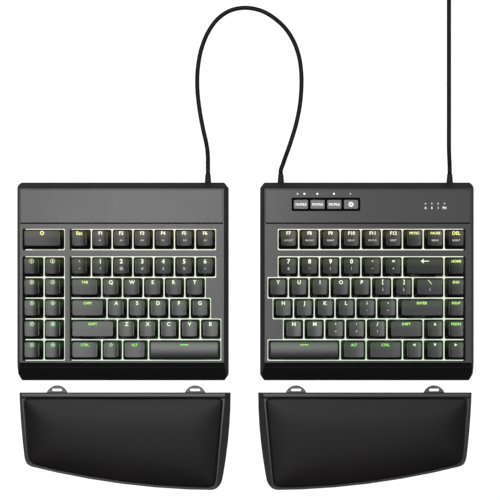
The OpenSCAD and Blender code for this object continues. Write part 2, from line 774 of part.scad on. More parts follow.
// A button, its face just over the panel and its flange held behind the bezel
module button(i) {
  flange = 0.6;
  flange_top = deck_z - panel_t - flange_t - button_fit;
  stem_d = 4;
  stem_z = board_z + board_t + button_travel + button_fit;
  color([0.36, 0.35, 0.36]) in_module(RIGHT) translate([button_x(i), button_y, 0]) {
    translate([0, 0, flange_top - eps]) linear_extrude(deck_z + button_proud - flange_top)
      round_rect(button_w - 2 * button_fit, button_d - 2 * button_fit, button_corner_r);
    translate([0, 0, flange_top - flange_t]) linear_extrude(flange_t)
      round_rect(button_w + 2 * flange, button_d + 2 * flange, button_corner_r);
    translate([0, 0, stem_z]) cylinder(d = stem_d, h = flange_top - stem_z);
  }
}

module indicator_lenses() {
  color([0.95, 0.95, 0.9]) in_module(RIGHT)
    for (p = lens_spots) translate([p.x, p.y, deck_z - panel_t]) {
      cylinder(d = lens_d, h = panel_t);
      translate([0, 0, -lens_flange]) cylinder(d = lens_d + 2 * lens_flange, h = lens_flange);
    }
}

// A strain relief: a flange inside the wall, a neck through it and a taper outside
module boot(side, x) {
  boot_flange = 1.5;
  color([0.12, 0.13, 0.12]) in_module(side) translate([x, 0, seam_z]) rotate([90, 0, 0]) {
    translate([0, 0, -boot_len]) cylinder(d1 = boot_tip_d, d2 = boot_root_d, h = boot_len);
    cylinder(d = boot_root_d, h = wall + tongue_t + eps);
    translate([0, 0, wall + tongue_t]) intersection() {
      cylinder(d = boot_root_d + 2, h = boot_flange);
      translate([-boot_root_d, floor_z - seam_z, 0]) cube([2 * boot_root_d, boot_root_d + 2, 2]);
    }
  }
}

// Cable routes on the desk: straight out, down to the desk, then along the hand-drawn curve
desk = cable_d / 2;
boot_y = rear_y + boot_len;
cable_out = 4;
function leaving(x) = [[x, boot_y, seam_z], [x, boot_y + cable_out, seam_z]];
left_exit = left_x + module_w - bridge_exit;
right_exit = right_x + bridge_exit;
bridge_route = concat(
  leaving(left_exit), [[-33.9, 160, 5.2], [-34, 167, 3.4]],
  [for (p = [[-34.6, 174], [-36, 182], [-38.5, 193], [-41.5, 209], [-43.5, 225], [-44, 239], [-43, 253],
    [-40, 268], [-34, 283], [-25, 295.5], [-13, 303.5], [1, 306], [15, 303.5], [27, 297], [38, 287],
    [46, 274.5], [51, 260], [53, 245], [53, 230], [51.5, 214], [48, 197], [43.5, 182], [40.8, 174]])
    [p.x, p.y, desk]],
  [[38.2, 167, 3.4], [35.8, 160, 5.2], leaving(right_exit)[1], leaving(right_exit)[0]]);
usb_x = right_x + module_w - usb_exit;
coil_w = coil_columns * cable_d;
coil_h = coil_layers * cable_d;
coil_z = tie_t;
outer_turn_r = (coil_d + coil_w - cable_d) / 2;
coil_x = usb_x - outer_turn_r;
coil_y = 354;
usb_route = concat(
  leaving(usb_x), [[usb_x, 161, 5], [usb_x, 168, 3.2]],
  [for (y = [176, 190, 205, 220, 235, 250, 265, 280, 295, 310]) [usb_x, y, desk]],
  [[usb_x, 322, 2.2], [usb_x, 334, 2.8], [usb_x, 345, 3]]);
tail_y = coil_y + outer_turn_r;
tail_len = 46;
plug_x = coil_x - tail_len;
plug_mid = plug_t / 2 + plug_border;
tail_route = [for (p = [[-8, 7], [-18, 6.6], [-28, 5.2], [-38, 4.2], [-tail_len, plug_mid]])
  [coil_x + p.x, tail_y, p.y]];

// Ring of points round a route at point i, square to the route there
function route_dir(p, i) = let (d = p[min(i + 1, len(p) - 1)] - p[max(i - 1, 0)]) d / norm(d);
function route_ring(p, i, r, n) = let (d = route_dir(p, i), s = cross(d, [0, 0, 1]), side = s / norm(s),
  up = cross(d, side)) [for (k = [0:n - 1]) p[i] + r * (cos(360 * k / n) * side + sin(360 * k / n) * up)];

// A cable of even thickness along a route
module cable(route) {
  sides = 8;
  polyhedron([for (i = [0:len(route) - 1]) each route_ring(route, i, cable_d / 2, sides)],
    loft_faces(sides, len(route)));
}

module bridge_cable() {
  color([0.16, 0.16, 0.16]) cable(bridge_route);
}

module usb_cable() {
  color([0.16, 0.16, 0.16]) {
    cable(usb_route);
    cable(tail_route);
  }
}

// Cross-section of the coil, grown by a margin
module coil_section(margin) {
  translate([coil_d / 2, coil_z + coil_h / 2])
    round_rect(coil_w + 2 * margin, coil_h + 2 * margin, cable_d / 2);
}

module usb_cable_coil() {
  color([0.16, 0.16, 0.16]) translate([coil_x, coil_y, 0]) rotate_extrude($fn = 64) coil_section(0);
}

module usb_cable_tie() {
  color([0.08, 0.08, 0.08]) translate([coil_x, coil_y, 0]) rotate([0, 0, 225 - tie_angle / 2])
    rotate_extrude(angle = tie_angle, $fn = 64) difference() {
      coil_section(tie_t);
      coil_section(0);
    }
}

module usb_plug_body() {
  body_w = plug_w + 2 * plug_border;
  body_t = plug_t + 2 * plug_border;
  color([0.1, 0.1, 0.1]) translate([plug_x, tail_y, plug_mid]) rotate([0, -90, 0])
    linear_extrude(plug_body_len) round_rect(body_t, body_w, plug_border);
}

module usb_plug_shell() {
  shell_t = 0.4;
  latch_w = 2.2;
  color([0.75, 0.75, 0.77]) translate([plug_x - plug_body_len, tail_y, plug_mid]) rotate([0, -90, 0])
    difference() {
      linear_extrude(plug_len) round_rect(plug_t, plug_w, 0.5);
      translate([0, 0, 1]) linear_extrude(plug_len)
        square([plug_t - 2 * shell_t, plug_w - 2 * shell_t], center = true);
      for (y = [-1, 1]) translate([0, y * plug_w / 5, plug_len / 2])
        cube([2 * plug_t, latch_w, latch_w], center = true);
    }
}

// Plan of a palm rest, outer edge on the left and rear edge at zero
module palm_plan() {
  steps = 6;
  function drawn_in(d) = palm_side_bow * pow(d / palm_d, 2);
  function front_d(t) = palm_outer_d + palm_inner_gain * t * (2 - t);
  outer_in = drawn_in(palm_outer_d);
  front_w = palm_w() - outer_in - palm_side_bow;
  intersection() {
    offset(r = palm_corner_r) offset(delta = -palm_corner_r) polygon(concat(
      [for (i = [-2:steps - 1]) let (d = palm_outer_d * i / steps) [drawn_in(max(d, 0)), -d]],
      [for (i = [0:steps]) let (t = i / steps) [outer_in + front_w * t, -front_d(t)]],
      [for (i = [steps - 1:-1:-2]) let (d = palm_d * i / steps) [palm_w() - drawn_in(max(d, 0)), -d]]));
    translate([0, -palm_d]) square([palm_w(), palm_d]);
  }
}

function palm_w() = $w + palm_inner_over - palm_outer_in;

// Places what it holds in a palm rest's own frame: its rear outer corner
module in_palm(side) {
  $w = width_of(side);
  translate([side == LEFT ? left_x : right_x, rear_y - module_d - palm_gap, 0])
    handed(side) translate([palm_outer_in, 0, 0]) children();
}

// Sloping frame of the palm rest's rim
palm_angle = atan((palm_rear_z - palm_front_z) / palm_d);
module on_rim() {
  translate([0, 0, palm_rear_z]) rotate([palm_angle, 0, 0]) children();
}

// Straight lines that the flanks leave the rim by: distance from the side at the rear, and turn
outer_line = [palm_outer_flank, 4];
inner_line = [palm_inner_flank, 5.2];
outer_flank_lean = 60;
inner_flank_lean = 45;

// What is outside a flank's line, in plan
module past_line(line) {
  translate([line[0], 0]) rotate(line[1]) translate([-palm_d, -2 * palm_d]) square([palm_d, 3 * palm_d]);
}

// What is above a flank, which falls away from its line
module flank_cut(line, lean) {
  on_rim() translate([line[0], 0, 0]) rotate([0, 0, line[1]]) rotate([0, -lean, 0])
    translate([-palm_d, -2 * palm_d, 0]) cube([palm_d, 3 * palm_d, palm_d]);
}

// Holds what it is given against the inner side instead of the outer one
module from_inner_side() {
  translate([palm_w(), 0, 0]) mirror([1, 0, 0]) children();
}

// Field of the pad inside the rim, drawn in by an inset
module pad_field(inset) {
  offset(r = pad_corner_r) offset(delta = -pad_corner_r - inset) difference() {
    offset(delta = -palm_front_rim) palm_plan();
    offset(delta = palm_side_rim) past_line(outer_line);
    from_inner_side() offset(delta = palm_side_rim) past_line(inner_line);
    translate([-palm_d, -palm_rear_rim]) square([4 * palm_d, palm_d]);
  }
}

// Side view of a palm base: sloping rim, and an undercut nose at the front
module palm_side() {
  undercut = 2;
  polygon([[0, palm_lift], [0, palm_rear_z], [-palm_d, palm_front_z], [-palm_d, palm_lift + undercut],
    [undercut - palm_d, palm_lift]]);
}

module palm_base(side) {
  color([0.35, 0.35, 0.35]) in_palm(side) {
    difference() {
      intersection() {
        linear_extrude(palm_rear_z) palm_plan();
        rotate([90, 0, 90]) linear_extrude(palm_w()) palm_side();
      }
      flank_cut(outer_line, outer_flank_lean);
      from_inner_side() flank_cut(inner_line, inner_flank_lean);
      on_rim() translate([0, 0, -pad_seat]) linear_extrude(palm_rear_z) pad_field(0);
      for (p = palm_foot_spots()) translate([p.x, p.y, 0])
        cylinder(d = palm_foot_d, h = palm_lift + foot_recess);
    }
    translate([-palm_outer_in, 0, hook_z]) linear_extrude(hook_t) for (x = hook_spots) docking_loop(x);
  }
}

// Half-round loop that reaches back from a palm rest
module docking_loop(x) {
  r = (pow(hook_w / 2, 2) + pow(hook_reach, 2)) / (2 * hook_reach);
  translate([x, 0]) difference() {
    intersection() {
      translate([0, hook_reach - r]) circle(r = r, $fn = 64);
      translate([-hook_w, -eps]) square([2 * hook_w, hook_w]);
    }
    translate([0, hook_web + hook_hole_d / 2]) round_rect(hook_hole_w, hook_hole_d, hook_hole_d / 3);
  }
}

function palm_foot_spots() = [
  for (x = [palm_foot_inset, palm_w() / 2, palm_w() - palm_foot_inset],
       y = [-palm_foot_rear, palm_foot_front - palm_outer_d]) [x, y]];

module palm_feet(side) {
  color([0.07, 0.07, 0.07]) in_palm(side)
    for (p = palm_foot_spots()) translate([p.x, p.y, 0])
      cylinder(d = palm_foot_d - 2 * panel_fit, h = palm_lift + foot_recess);
}

// Crowned pad: its outline drawn in step by step as it rises from the seat
module palm_pad(side) {
  steps = [[0, 0.1], [1.2, 0.4], [5, 0.72], [13, 0.93], [26, 1]];
  color([0.17, 0.165, 0.165]) in_palm(side) on_rim() translate([0, 0, -pad_seat]) hull()
    for (s = steps) linear_extrude(pad_seat + pad_crown * s.y) pad_field(pad_gap + s.x);
}

top_case(LEFT);  // left_top_case
rear_panel(LEFT);  // left_rear_panel
bottom_case(LEFT);  // left_bottom_case
screws(LEFT);  // left_screws
feet(LEFT);  // left_feet
switch_plate(LEFT);  // left_switch_plate
circuit_board(LEFT);  // left_circuit_board
switch_housings(LEFT);  // left_switch_housings
stabilizers(LEFT);  // left_stabilizers
boot(LEFT, module_w - bridge_exit);  // left_bridge_boot
bridge_cable();
keycaps(LEFT, macro_bar_keys());  // left_macro_bar_key
keycaps(LEFT, macro_grid());  // left_macro_keys
keycaps(LEFT, whole_row(LEFT, 0));  // left_function_keys
keycaps(LEFT, whole_row(LEFT, 1));  // left_number_keys
keycaps(LEFT, whole_row(LEFT, 2));  // left_upper_letter_keys
keycaps(LEFT, whole_row(LEFT, 3));  // left_home_letter_keys
keycaps(LEFT, row_keys(LEFT, 4, 1, 5));  // left_lower_letter_keys
keycaps(LEFT, row_keys(LEFT, 4, 0, 0));  // left_shift_key
keycaps(LEFT, row_keys(LEFT, 5, 0, 2));  // left_bottom_keys
keycaps(LEFT, row_keys(LEFT, 5, 3, 3));  // left_space_key
top_case(RIGHT);  // right_top_case
rear_panel(RIGHT);  // right_rear_panel
bottom_case(RIGHT);  // right_bottom_case
screws(RIGHT);  // right_screws
feet(RIGHT);  // right_feet
switch_plate(RIGHT);  // right_switch_plate
circuit_board(RIGHT);  // right_circuit_board
switch_housings(RIGHT);  // right_switch_housings
stabilizers(RIGHT);  // right_stabilizers
boot(RIGHT, bridge_exit);  // right_bridge_boot
keycaps(RIGHT, whole_row(RIGHT, 0));  // right_function_keys
keycaps(RIGHT, row_keys(RIGHT, 1, 0, 5));  // right_number_keys
keycaps(RIGHT, row_keys(RIGHT, 1, 6, 6));  // backspace_key
keycaps(RIGHT, row_keys(RIGHT, 2, 0, 7));  // right_upper_letter_keys
keycaps(RIGHT, row_keys(RIGHT, 3, 0, 5));  // right_home_letter_keys
keycaps(RIGHT, row_keys(RIGHT, 3, 6, 6));  // enter_key
keycaps(RIGHT, row_keys(RIGHT, 4, 0, 5));  // right_lower_letter_keys
keycaps(RIGHT, row_keys(RIGHT, 5, 1, 2));  // right_bottom_keys
keycaps(RIGHT, row_keys(RIGHT, 5, 0, 0));  // right_space_key
keycaps(RIGHT, arrow_list);  // arrow_keys
keycaps(RIGHT, navigation_list);  // navigation_keys
button_bezel();
button(0);  // profile_button_1
button(1);  // profile_button_2
button(2);  // profile_button_3
button(3);  // settings_button
indicator_lenses();
boot(RIGHT, module_w - usb_exit);  // usb_boot
usb_cable();
usb_cable_coil();
usb_cable_tie();
usb_plug_body();
usb_plug_shell();
palm_base(LEFT);  // left_palm_base
palm_pad(LEFT);  // left_palm_pad
palm_feet(LEFT);  // left_palm_feet
palm_base(RIGHT);  // right_palm_base
palm_pad(RIGHT);  // right_palm_pad
palm_feet(RIGHT);  // right_palm_feet
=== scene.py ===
# %% [markdown]
# # A split keyboard in Blender
# The keyboard has two halves joined by a cable, two palm rests that dock under their front edges, and
# a USB cable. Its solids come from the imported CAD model, which is loaded as a fixed frame. Everything
# made here is in metres and in that frame, so a new piece goes exactly where its solid is.

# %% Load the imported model
import math

import bpy
import numpy as np
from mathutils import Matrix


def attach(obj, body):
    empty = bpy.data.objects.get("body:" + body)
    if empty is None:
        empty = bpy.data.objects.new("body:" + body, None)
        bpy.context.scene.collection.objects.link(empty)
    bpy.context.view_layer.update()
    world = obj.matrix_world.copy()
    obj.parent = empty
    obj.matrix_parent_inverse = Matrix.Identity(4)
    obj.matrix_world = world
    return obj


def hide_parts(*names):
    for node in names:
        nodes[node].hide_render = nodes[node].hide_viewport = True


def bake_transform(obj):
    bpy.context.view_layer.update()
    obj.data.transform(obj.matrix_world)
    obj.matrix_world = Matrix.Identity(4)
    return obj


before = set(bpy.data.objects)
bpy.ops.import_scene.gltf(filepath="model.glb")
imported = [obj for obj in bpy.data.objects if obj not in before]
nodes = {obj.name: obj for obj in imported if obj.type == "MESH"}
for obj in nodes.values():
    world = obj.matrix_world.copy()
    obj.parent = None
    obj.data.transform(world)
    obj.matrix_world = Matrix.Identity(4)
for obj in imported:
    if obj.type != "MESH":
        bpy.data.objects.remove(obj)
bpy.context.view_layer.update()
MM = 0.001

# %% [markdown]
# ## Where the keys are
# Keys stand on a pitch of 19.05 mm, and a bar parts the function row from the rows in front of it. From
# the left come two macro columns, the left keys and the right keys, whose rows end at the same place at
# the right. Heights are above the desk: the switch plate, the rims of the keycaps and the deck.

# %% Places that several steps use, in millimetres
sides = ("left", "right")
PITCH, ROW_BAR, NUMBER_ROW_Y = 19.05, 6.25, 64.7
ROW_Y = [NUMBER_ROW_Y + PITCH + ROW_BAR] + [NUMBER_ROW_Y - PITCH * n for n in range(5)]
MACRO_X, LEFT_X, RIGHT_X = -202.8125, -159.4125, 202.275
PLATE_Z, RIM_Z, DECK_Z = 12, 18, 20
print("rows of keys at y =", [round(y, 2) for y in ROW_Y])

# %% [markdown]
# ## Camera
# The photograph looks straight down from a little over a metre, with no tilt: both halves stand square
# in the frame and only the outer side walls show. The camera stands over the same point at the same
# height, so that the steep rear slopes and the front lips are as foreshortened as in the photograph.

# %% Camera
CAMERA_AT, VIEW_ANGLE, SENSOR_W, SIGHT_END = (0.0052, 0.0803, 1.075), 24.5, 36, 20


def placed(name, data):
    """An object that shows some data, in the scene and at the origin."""
    thing = bpy.data.objects.new(name, data)
    bpy.context.scene.collection.objects.link(thing)
    return thing


camera_data = bpy.data.cameras.new("camera")
camera = placed("camera", camera_data)
bpy.context.scene.camera = camera
camera.location = CAMERA_AT
camera_data.sensor_width = SENSOR_W
camera_data.lens = SENSOR_W / 2 / math.tan(math.radians(VIEW_ANGLE / 2))
camera_data.clip_end = SIGHT_END
print("lens", round(camera_data.lens, 1), "mm")

# %% [markdown]
# ## Grids and tubes
# New pieces are surfaces of two parameters, worked out as whole arrays of points. The helpers list the
# faces between the points of a grid, put points and faces into a mesh, and carry rings along a path.

# %% Grid and mesh helpers
def grid_faces(rows, columns, around):
    """Faces of a grid of points numbered row by row: point (i, j) is number i * columns + j, and a face
    joins (i, j), (i, j + 1), (i + 1, j + 1) and (i + 1, j). With around, the last column meets the first."""
    i = np.arange(rows - 1)[:, None]
    j = np.arange(columns if around else columns - 1)[None, :]
    k = (j + 1) % columns
    corners = [i * columns + j, i * columns + k, (i + 1) * columns + k, (i + 1) * columns + j]
    return np.stack(corners, -1).reshape(-1, 4)


def solid_volume(points, faces):
    """Volume that the faces enclose, a sixth of the sum of a . (b x c) over their triangles. It is more
    than zero only where the faces point outwards."""
    total = 0.0
    for f in faces:
        a, b, c = (points[f[:, n]] for n in range(3))
        total += np.einsum("ij,ij->", a, np.cross(b, c))
        if f.shape[1] == 4:
            total += np.einsum("ij,ij->", a, np.cross(c, points[f[:, 3]]))
    return total / 6


def flat_mesh(name, points, faces):
    """A mesh object with flat faces, from an array of points in metres and a list of faces."""
    mesh = bpy.data.meshes.new(name)
    mesh.from_pydata(points.tolist(), [], faces)
    mesh.update()
    return placed(name, mesh)


def smooth_mesh(name, points, faces):
    """A smooth mesh object from points in metres and a list of face arrays. Faces that point inwards
    are turned round together, so that every closed piece ends up facing outwards."""
    if solid_volume(points, faces) < 0:
        faces = [f[:, ::-1] for f in faces]
    piece = flat_mesh(name, points, [q for f in faces for q in f.tolist()])
    piece.data.polygons.foreach_set("use_smooth", np.full(len(piece.data.polygons), True))
    piece.data.update()
    return piece


def path_length(line):
    """The sum of the distances between a line's neighbouring points."""
    return float(np.linalg.norm(np.diff(line, axis=0), axis=1).sum())


def evenly(line, step):
    """The same line with its points an even step apart, read off at even shares of its length."""
    along = np.concatenate([[0], np.cumsum(np.linalg.norm(np.diff(line, axis=0), axis=1))])
    at = np.linspace(0, along[-1], int(round(along[-1] / step)) + 1)
    return np.stack([np.interp(at, along, line[:, n]) for n in range(3)], -1)


def smooth_path(points, step):
    """Catmull-Rom curve. Between b and c, with neighbours a and d, the point at share t is
    (2b + (c - a) t + (2a - 5b + 4c - d) t^2 + (3b - a - 3c + d) t^3) / 2. It is then spread evenly."""
    p = np.array(points, float)
    p = np.vstack([2 * p[0] - p[1], p, 2 * p[-1] - p[-2]])
    a, b, c, d = (q[:, None, :] for q in (p[:-3], p[1:-2], p[2:-1], p[3:]))
    t = np.linspace(0, 1, 20, endpoint=False)[None, :, None]
    curve = (2 * b + (c - a) * t + (2 * a - 5 * b + 4 * c - d) * t**2 + (3 * b - a - 3 * c + d) * t**3) / 2
    return evenly(np.vstack([curve.reshape(-1, 3), p[-2]]), step)


def tube(name, path, radius, corners=12):
    """Tube along a path: at each point, a ring of radius * (cos a * side + sin a * up), where side is
    level and square to the path, and up is square to both. Its two ends are closed by a point."""
    ahead = np.gradient(path, axis=0)
    ahead /= np.linalg.norm(ahead, axis=1)[:, None]
    side = np.cross(ahead, [0, 0, 1])
    side /= np.linalg.norm(side, axis=1)[:, None]
    up = np.cross(side, ahead)
    a = np.linspace(0, 2 * np.pi, corners, endpoint=False)[None, :, None]
    rings = path[:, None] + radius * (np.cos(a) * side[:, None] + np.sin(a) * up[:, None])
    count = len(path) * corners
    points = np.vstack([rings.reshape(-1, 3), path[0], path[-1]])
    j = np.arange(corners)
    k = (j + 1) % corners
    first = np.stack([np.full(corners, count), k, j], -1)
    last = np.stack([np.full(corners, count + 1), count - corners + j, count - corners + k], -1)
    return smooth_mesh(name, points, [grid_faces(len(path), corners, True), first, last])


# %% [markdown]
# ## The cables
# Two round cables lie on the desk. The bridge cable leaves the rear wall of the left half, rises to an
# arch behind the keyboard and comes back to the right half. It is seen from end to end, so its length
# is the length of its line. The USB cable runs straight back out of the view. What isn't seen is wound
# into a flat coil in two layers, six turns wide, held by a tie, with the plug beside it.

# %% Routes of the cables, in millimetres
SEAM_Z, BOOT_Y, USB_X = 6, 150.625, 190.6125
CABLE_D = 4
DESK = CABLE_D / 2
COIL_R, COIL_INNER_R = 32, 12
COIL_X, COIL_Y = USB_X - COIL_R, 354
COIL_LOW, COIL_HIGH = 3, 7


def leaving(x):
    """The first points of a cable: straight out of its strain relief."""
    return [(x, BOOT_Y, SEAM_Z), (x, BOOT_Y + 4, SEAM_Z)]


arch = [(-34.6, 174), (-36, 182), (-38.5, 193), (-41.5, 209), (-43.5, 225), (-44, 239), (-43, 253),
        (-40, 268), (-34, 283), (-25, 295.5), (-13, 303.5), (1, 306), (15, 303.5), (27, 297), (38, 287),
        (46, 274.5), (51, 260), (53, 245), (53, 230), (51.5, 214), (48, 197), (43.5, 182), (40.8, 174)]
bridge_route = (leaving(-33.8) + [(-33.9, 160, 5.2), (-34, 167, 3.4)] + [(x, y, DESK) for x, y in arch]
                + [(38.2, 167, 3.4), (35.8, 160, 5.2)] + leaving(33.8)[::-1])
usb_lead = (leaving(USB_X) + [(USB_X, 161, 5), (USB_X, 168, 3.2)]
            + [(USB_X, y, DESK) for y in (176, 190, 205, 220, 235, 250, 265, 280, 295, 310)]
            + [(USB_X, 322, 2.2), (USB_X, 334, 2.8), (USB_X, 345, COIL_LOW)])
usb_tail = [(COIL_X + x, COIL_Y + COIL_R, z) for x, z in
            ((0, COIL_HIGH), (-8, 7), (-18, 6.6), (-28, 5.2), (-38, 4.2), (-46, 3.95))]
print(len(bridge_route), "points in the bridge,", len(usb_lead), "in the lead")


# %% The coil
def smoothstep(x):
    """0 below 0, 1 above 1, and 3x^2 - 2x^3 between."""
    x = np.clip(x, 0, 1)
    return x * x * (3 - 2 * x)


def coil_line(layer_turns=6, last_turn=11.25, step_from=0.80, step_to=0.97, dip=1.5, steps=48):
    """Line of the coil over turns u. A turn keeps its radius and moves one cable width near its end:
    inwards from 32 mm in the first layer, outwards from 12 mm in the second. Between the layers it
    rises by one cable width, dipping inwards so that it clears the turn beside it."""
    u = np.linspace(0, last_turn, int(last_turn * steps))
    turn = np.floor(u)
    moved = smoothstep((u - turn - step_from) / (step_to - step_from))
    low = turn < layer_turns
    inward = np.minimum(turn + moved, layer_turns - 1)
    outward = turn - layer_turns + moved
    rising = turn == layer_turns - 1
    radius = np.where(low, COIL_R - CABLE_D * inward, COIL_INNER_R + CABLE_D * outward)
    radius = radius - dip * np.sin(np.pi * moved) * rising
    z = np.where(low, COIL_LOW, COIL_HIGH) + (COIL_HIGH - COIL_LOW) * moved * rising
    a = 2 * np.pi * u
    return np.stack([COIL_X + radius * np.cos(a), COIL_Y + radius * np.sin(a), z], -1)


def on_desk(line):
    """A cable's line with no point lower than a cable that lies on the desk."""
    return np.maximum(line, [-np.inf, -np.inf, DESK])


RUN_STEP, COIL_STEP = 2.5, 1.5
bridge_path = on_desk(smooth_path(bridge_route, RUN_STEP)) * MM
coil = coil_line()
usb_path = on_desk(np.vstack([smooth_path(usb_lead + [tuple(coil[0])], RUN_STEP)[:-1],
                              evenly(coil, COIL_STEP), smooth_path(usb_tail, COIL_STEP)[1:]])) * MM
print("bridge", round(path_length(bridge_path), 3), "m, USB", round(path_length(usb_path), 3), "m")

# %% Both cables
bridge_cable = tube("bridge_cable_jacket", bridge_path, CABLE_D / 2 * MM)
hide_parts("bridge_cable")
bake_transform(bridge_cable)

usb_cable = tube("usb_cable_jacket", usb_path, CABLE_D / 2 * MM)
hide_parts("usb_cable", "usb_cable_coil")
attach(usb_cable, "right_module")
print(len(bridge_cable.data.polygons) + len(usb_cable.data.polygons), "faces in the cables")

# %% [markdown]
# ## Nodes in few words
# The room and the materials are trees of nodes. One shorthand adds a node and joins it in the same
# call. The others give what comes up most: arithmetic, a range spread over another, a noise, a ramp
# of colours, and one number of a vector.

# %% Shorthands for nodes
def adder(tree):
    """The shorthand that adds nodes to a tree."""
    def add(kind, settings=None, **inputs):
        """A node of a kind, its settings by name, and its inputs as links or fixed values. An input goes
        by its name, or by an underscore and its number."""
        node = tree.nodes.new("ShaderNode" + kind)
        for key, value in (settings or {}).items():
            setattr(node, key, value)
        for key, value in inputs.items():
            socket = node.inputs[int(key[1:]) if key[1:].isdigit() else key.replace("_", " ")]
            if isinstance(value, bpy.types.NodeSocket):
                tree.links.new(value, socket)
            else:
                socket.default_value = value
        return node

    return add


def calc(add, operation, *values):
    """The result of one arithmetic step on links or fixed numbers."""
    return add("Math", {"operation": operation}, **{f"_{n}": v for n, v in enumerate(values)}).outputs[0]


def spread(add, value, low, high, to_low=0.0, to_high=1.0, kind="LINEAR"):
    """Where a value stands from low to high, as a number from to_low to to_high, and never past them."""
    return add("MapRange", {"interpolation_type": kind}, Value=value, From_Min=low, From_Max=high,
               To_Min=to_low, To_Max=to_high).outputs[0]


def noise(add, place, scale, detail=2.0, output="Fac", **inputs):
    """A cloudy noise over a place, with about so many clouds a metre."""
    return add("TexNoise", Vector=place, Scale=scale, Detail=detail, **inputs).outputs[output]


def ramp(add, share, *stops, kind="LINEAR"):
    """A colour over a share from 0 to 1, through stops that each have a place and a colour."""
    node = add("ValToRGB", Fac=share)
    node.color_ramp.interpolation = kind
    elements = node.color_ramp.elements
    while len(elements) < len(stops):
        elements.new(0.5)
    for element, (at, colour) in zip(elements, stops):
        element.position, element.color = at, colour
    return node.outputs["Color"]


def part(add, vector, axis):
    """One of the three numbers of a vector."""
    return add("SeparateXYZ", Vector=vector).outputs[axis]


def rise(add):
    """How far a face's normal points up: 1 where it is level, and 0 where it is upright."""
    return part(add, add("NewGeometry").outputs["True Normal"], "Z")


def straight_ray(add):
    """1 for rays that come from the camera, also through glass, and 0 for the others."""
    ray = add("LightPath").outputs
    return calc(add, "MAXIMUM", ray["Is Camera Ray"], ray["Is Transmission Ray"])


def new_material(name):
    """For an empty material: the shorthand that adds its nodes, the place on the object, and a function
    that ends the material with a shader node and returns it."""
    material = bpy.data.materials.new(name)
    material.use_nodes = True
    material.node_tree.nodes.clear()
    add = adder(material.node_tree)

    def finish(shader):
        add("OutputMaterial", Surface=shader.outputs[0])
        return material

    return add, add("TexCoord").outputs["Object"], finish


def srgb(*levels):
    """A colour given in display levels from 0 to 255, as the linear numbers that shaders take."""
    c = np.array(levels, float) / 255
    return (*np.where(c <= 0.04045, c / 12.92, ((c + 0.055) / 1.055) ** 2.4).tolist(), 1.0)


WHITE = (1, 1, 1, 1)
print("mid grey is", srgb(128, 128, 128))

# %% [markdown]
# ## Studio
# The keyboard is near black, so what it shows is mostly the reflection of its surroundings. A large
# soft box overhead, in four parts, is mirrored in every level face. It is bright over the left half and
# dim over the right one. Slopes that lean away from it mirror the dark ceiling instead. Pale walls at
# the sides and the rear give the keyboard its form in other views. They fade towards the ceiling and
# the front, which the dark front lips mirror. The floor is white to the camera and pale grey to
# reflections, and a quarter of it takes the shadow.

# %% Soft boxes
BOX_Z, BOX_SPLIT_X, BOX_SPLIT_Y = 1.6, 0.06, -0.05
LEFT_SPAN, RIGHT_SPAN = (-0.65, BOX_SPLIT_X), (BOX_SPLIT_X, 0.9)
REAR_SPAN, FRONT_SPAN = (BOX_SPLIT_Y, 0.8), (-0.45, BOX_SPLIT_Y)


def soft_box(name, radiance, x_span, y_span):
    """A level rectangle of even light. An area light's power is its radiance times four times its area."""
    data = bpy.data.lights.new(name, "AREA")
    data.shape = "RECTANGLE"
    data.size, data.size_y = x_span[1] - x_span[0], y_span[1] - y_span[0]
    data.energy = 4 * radiance * data.size * data.size_y
    placed(name, data).location = (sum(x_span) / 2, sum(y_span) / 2, BOX_Z)
    print(name, round(data.energy, 1), "W")


for name, radiance, x_span, y_span in (
        ("rear_left_box", 5.2, LEFT_SPAN, REAR_SPAN), ("front_left_box", 3.6, LEFT_SPAN, FRONT_SPAN),
        ("rear_right_box", 1.8, RIGHT_SPAN, REAR_SPAN), ("front_right_box", 1.6, RIGHT_SPAN, FRONT_SPAN)):
    soft_box(name, radiance, x_span, y_span)

# %% Room
WALLS, CEILING = (0.5, 0.5, 0.51, 1), (0.055, 0.055, 0.057, 1)
WALLS_UP_TO, CEILING_FROM = 0.45, 0.75
FRONT_GAIN, FRONT_FROM = 1.2, 0.36

world = bpy.data.worlds.new("room")
bpy.context.scene.world = world
world.use_nodes = True
world.node_tree.nodes.clear()
add = adder(world.node_tree)
toward = add("TexCoord").outputs["Generated"]
frontal = calc(add, "MULTIPLY_ADD", part(add, toward, "Y"), -FRONT_GAIN, -FRONT_FROM)
height = calc(add, "ADD", calc(add, "MAXIMUM", frontal, 0), part(add, toward, "Z"))
wall = ramp(add, height, (WALLS_UP_TO, WALLS), (CEILING_FROM, CEILING), kind="EASE")
room, backdrop = (add("Background", Color=colour).outputs[0] for colour in (wall, WHITE))
shown = add("MixShader", _0=straight_ray(add), _1=room, _2=backdrop)
add("OutputWorld", Surface=shown.outputs[0])
bpy.context.scene.view_settings.view_transform = "Standard"
print("walls", WALLS[:3], "ceiling", CEILING[:3])


# %% Floor
def floor_material(shadow_share=0.25, to_camera=1.25, to_gloss=0.3):
    """White paper: a share of it takes light and shadow, and the rest glows white to the camera, and
    a pale grey to reflections. To the other rays it is plain white paper."""
    add, _, finish = new_material("studio_floor")
    paper = add("BsdfDiffuse", Color=(0.9, 0.9, 0.9, 1)).outputs[0]
    straight = straight_ray(add)
    glow = add("Emission", Color=WHITE, Strength=spread(add, straight, 0, 1, to_gloss, to_camera)).outputs[0]
    seen = calc(add, "MAXIMUM", straight, add("LightPath").outputs["Is Glossy Ray"])
    glow_share = calc(add, "MULTIPLY", seen, 1 - shadow_share)
    return finish(add("MixShader", _0=glow_share, _1=paper, _2=glow))


